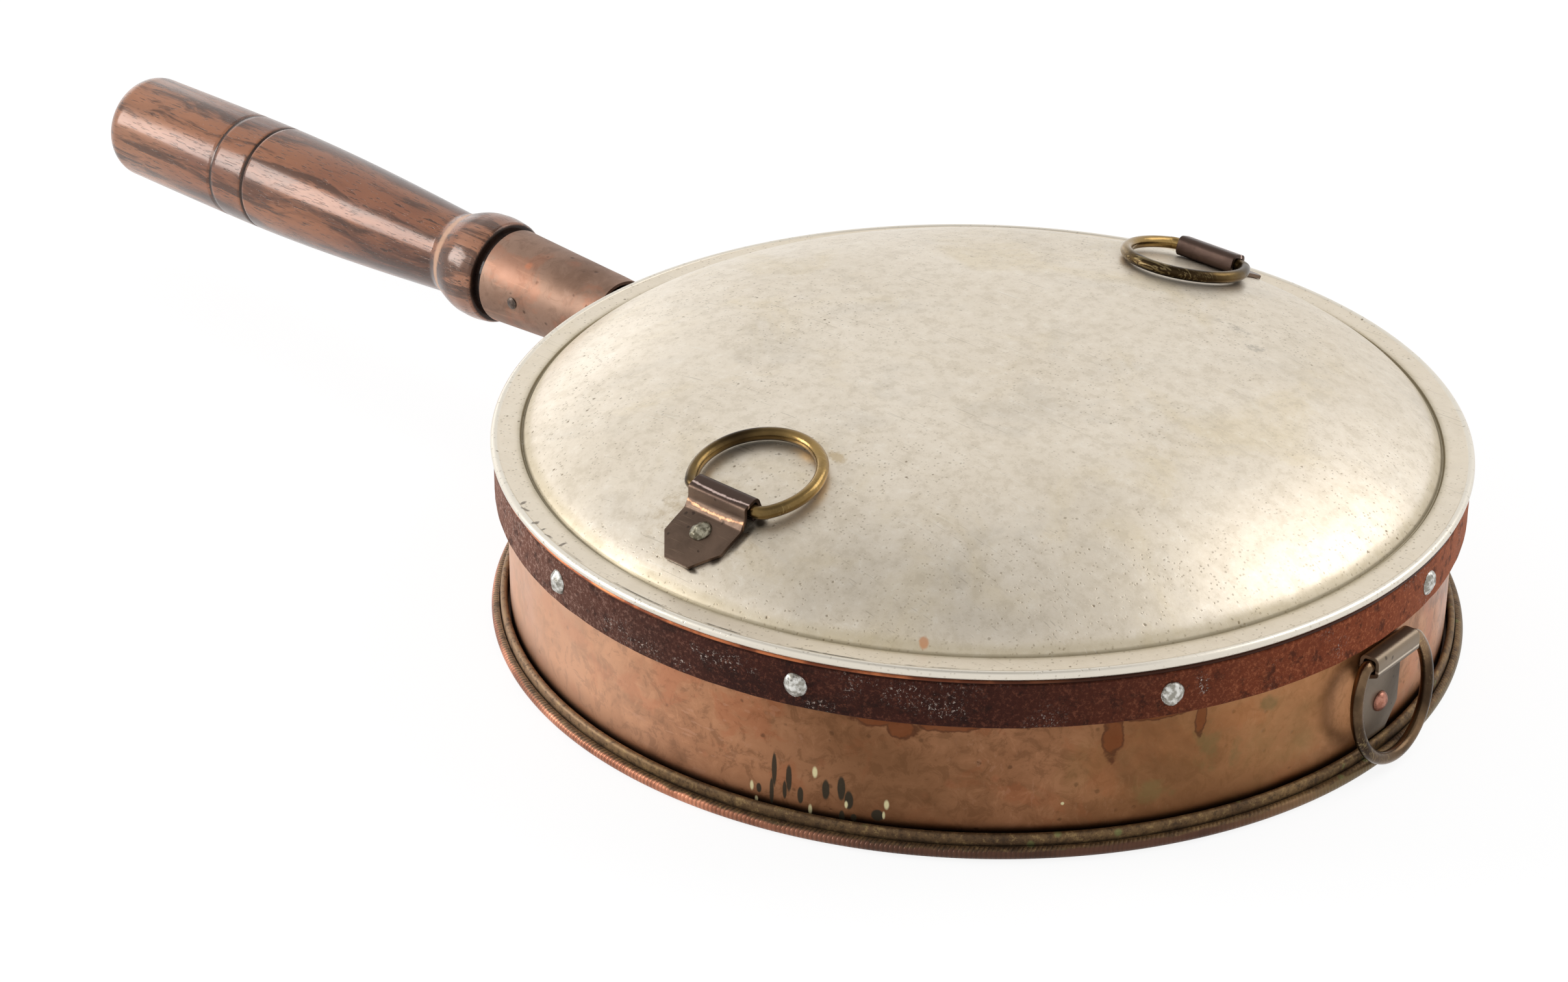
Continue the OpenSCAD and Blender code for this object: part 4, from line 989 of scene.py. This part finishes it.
def drum_place(x, y, z):
    """The drum tab's frame: strip down the wall, bent to its curve, knuckle under the hoop."""
    share = np.clip((x - 3.5) / 3.0, 0, 1)
    r = DRUM_BAR[0] + z
    out = r + share * (np.sqrt(np.maximum(r * r - y * y, 0)) - r)
    c, s = math.cos(DRUM_TAB_TURN), math.sin(DRUM_TAB_TURN)
    return np.stack([out * c - y * s, out * s + y * c, DRUM_BAR[1] - x + 0 * y], -1)


def rivet_heads(places, head, height, grip, seed, lumpy=1.0, tail_r=2.3, tail_h=0.9):
    """Hammered heads and tails: each is a polar grid with z = height times (1 - share squared) to the 0.6,
    its outline and top pushed about by seeded waves; the shank between is a plain tube of revolution."""
    rng = np.random.default_rng(seed)
    points, faces, base = [], [], 0
    share = np.sin(np.linspace(0, np.pi / 2, 9))
    a = np.linspace(0, 2 * np.pi, 28, endpoint=False)
    for origin, u, v, n in places:
        p = rng.uniform(0, 2 * np.pi, 6)
        lobes = 0.045 * np.cos(2 * a + p[0]) + 0.03 * np.cos(3 * a + p[1]) + 0.015 * np.cos(7 * a + p[2])
        lobes = 1 + lumpy * lobes
        s, al = share[:, None], a[None, :]
        r = head * s * lobes[None, :]
        lumps = np.cos(2.4 * r * np.cos(al) + p[3]) + np.cos(2.1 * r * np.sin(al) + p[4])
        lumps = 0.09 * height * lumps * (1 - s ** 4)
        z = height * np.clip(1 - s ** 2, 0, 1) ** 0.6 * (1 + lumpy * 0.1 * np.cos(al + p[5]) * s)
        z = z + lumpy * lumps
        top = np.stack([r * np.cos(al), r * np.sin(al), np.maximum(z, 0) + 0 * al], -1)
        under = [(head * 0.97, -0.02), (1.6, -0.02), (1.6, -grip), (tail_r, -grip),
                 (tail_r * 0.8, -grip - tail_h * 0.6), (tail_r * 0.4, -grip - tail_h * 0.9),
                 (0, -grip - tail_h)]
        rings = [(size * np.cos(a), size * np.sin(a), np.full_like(a, at)) for size, at in under]
        low = np.stack([np.stack(ring, -1) for ring in rings])
        world = np.array(origin) + np.concatenate([top, low]) @ np.array([u, v, n])
        points.append(world.reshape(-1, 3))
        faces.append(grid_faces(world.shape[0], len(a)) + base)
        base += world.shape[0] * world.shape[1]
    return np.concatenate(points), np.concatenate(faces)


def side_frame(turn, r, z):
    """A rivet's place on the drum's side: its origin, two directions along the wall, and the way out."""
    t = math.radians(turn)
    out = (math.cos(t), math.sin(t), 0)
    return (r * out[0], r * out[1], z), (-out[1], out[0], 0), (0, 0, 1), out


def lid_frame(turn):
    """A lid rivet's place: on the tab, square to the dome."""
    slope = math.atan(dome_fall(LID_RIVET_R))
    t = math.radians(turn)
    out = np.array([math.cos(t), math.sin(t), 0])
    n = math.sin(slope) * out + np.array([0, 0, math.cos(slope)])
    u = math.cos(slope) * out - np.array([0, 0, math.sin(slope)])
    at = LID_RIVET_R * out + np.array([0, 0, dome_height(LID_RIVET_R)]) + 1.3 * n
    return tuple(at), tuple(u), tuple(np.cross(n, u)), tuple(n)


lid_sheet()
drum_sheet()
foot_sheet()
hoop_bar()
ferrule_tube()
turned_handle()
for label, turn, lift in (("front", -90, 0.25), ("back", 90, 0.5)):
    place_on_lid, clip_at, tip_at = lid_place(math.radians(turn))
    shape = tab_strip(place_on_lid, clip_at, tip_at, lift)
    finish_mesh(f"lid_tab_strip_{label}", shape, "lid", BRONZE, bevel=0.12,
                stands_for=[f"lid_tab_{label}"])
shape = tab_strip(drum_place, DRUM_TAB_L - CLIP_L, DRUM_TAB_L)
finish_mesh("drum_tab_strip", shape, "drum", BRONZE, bevel=0.12, stands_for=["drum_tab"])

round_hoop = [side_frame(turn, HOOP_R + 0.05, HOOP_RIVET_Z) for turn in HOOP_RIVETS]
shape = rivet_heads(round_hoop, head=3.35, height=1.5, grip=4.65, seed=7)
finish_mesh("hoop_rivet_heads", shape, "drum", TIN, sharp=60, stands_for=["hoop_rivets"])
shape = rivet_heads([lid_frame(-90), lid_frame(90)], head=3.1, height=1.7, grip=2.1, seed=11)
finish_mesh("lid_rivet_heads", shape, "lid", GREY_TIN, sharp=60,
            stands_for=["lid_tab_rivets"])
on_tab = side_frame(DRUM_TAB_DEGREES, WALL_R + 1.3, DRUM_RIVET_Z)
shape = rivet_heads([on_tab], head=3.0, height=2.0, grip=2.35, seed=13, lumpy=0.2)
finish_mesh("drum_tab_rivet_head", shape, "drum", PINK_RIVET, sharp=60,
            stands_for=["drum_tab_rivet"])


# ------------------------------------------------------ floor, light, camera
def seen_or_mirrored():
    """1 for the rays by which metal or glass shows the background, and 1 for those or the camera's own."""
    rays = put("ShaderNodeLightPath").outputs
    mirrored = most(rays["Is Glossy Ray"], rays["Is Transmission Ray"])
    return mirrored, most(rays["Is Camera Ray"], mirrored)


def pale_floor():
    """A wide pale plane just under the pan. It glows a little, so the pan's shadow on it stays faint."""
    mesh = bpy.data.meshes.new("floor")
    corners = [(x * FLOOR_HALF, y * FLOOR_HALF, FLOOR_Z) for x, y in ((-1, -1), (1, -1), (1, 1), (-1, 1))]
    mesh.from_pydata(corners, [], [(0, 1, 2, 3)])
    floor = bpy.data.objects.new("floor", mesh)
    bpy.context.scene.collection.objects.link(floor)
    material, shader, place = new_finish("floor_paper")
    wire_up(shader, Base_Color=(0.93, 0.93, 0.93, 1), Roughness=0.9, Specular_IOR_Level=0.0)
    seen = seen_or_mirrored()[1]
    white = put("ShaderNodeEmission", {"Color": (1.0, 1.0, 1.0, 1.0), "Strength": 1.1})
    mixed = put("ShaderNodeMixShader", {0: times(seen, 0.8), 1: shader.outputs[0], 2: white.outputs[0]})
    ends = next(node for node in Desk.tree.nodes if node.type == "OUTPUT_MATERIAL")
    feed(ends.inputs[0], mixed.outputs[0])
    mesh.materials.append(material)


def lamp(name, at, size, power, aim=(0.0, 0.0, 0.03)):
    """A square soft box at a place, turned to the pan."""
    light = bpy.data.lights.new(name, "AREA")
    light.shape, light.size, light.energy = "SQUARE", size, power
    box = bpy.data.objects.new(name, light)
    bpy.context.scene.collection.objects.link(box)
    x, y, z = np.array(aim) - np.array(at)
    box.location = at
    box.rotation_euler = (math.atan2(math.hypot(x, y), -z), 0.0, math.atan2(-x, y))


def studio():
    """Even pale room light, white all round and greyer overhead in reflections, and three soft boxes."""
    scene = bpy.context.scene
    world = bpy.data.worlds.new("studio")
    scene.world = world
    world.use_nodes = True
    Desk.tree = world.node_tree
    Desk.tree.nodes.clear()
    mirrored, seen = seen_or_mirrored()
    way = put("ShaderNodeTexCoord").outputs["Generated"]
    overhead = ramp(put("ShaderNodeSeparateXYZ", {0: way}).outputs[2], 0.74, 1.0, 1.0, 0.5)
    strength = between(seen, 0.5, between(mirrored, 1.0, overhead))
    shade = put("ShaderNodeBackground", {"Color": (1.0, 1.0, 1.0, 1.0), "Strength": strength})
    put("ShaderNodeOutputWorld", {0: shade.outputs[0]})
    lamp("left_box", (-1.05, -0.85, 0.46), 0.56, 8.8)
    lamp("right_box", (0.5, 0.85, 1.0), 0.8, 4.4)
    lamp("rear_box", (-1.3, 0.42, 0.22), 0.7, 1.0)
    scene.view_settings.view_transform = "Standard"


# Where the photograph was taken from: place in metres, turns in degrees with a slight roll, and lens in mm
CAMERA_AT, CAMERA_TURNS = (0.64235, -0.78859, 0.57550), (61.9466, -0.3276, 42.5019)
CAMERA_LENS, CAMERA_SENSOR = 91.536, 36.0


def photo_camera():
    """The camera at the photograph's viewing angle."""
    data = bpy.data.cameras.new("photo_camera")
    data.lens, data.sensor_width, data.clip_end = CAMERA_LENS, CAMERA_SENSOR, 20.0
    camera = bpy.data.objects.new("photo_camera", data)
    camera.location = CAMERA_AT
    camera.rotation_euler = tuple(math.radians(turn) for turn in CAMERA_TURNS)
    bpy.context.scene.collection.objects.link(camera)
    bpy.context.scene.camera = camera


pale_floor()
studio()
photo_camera()
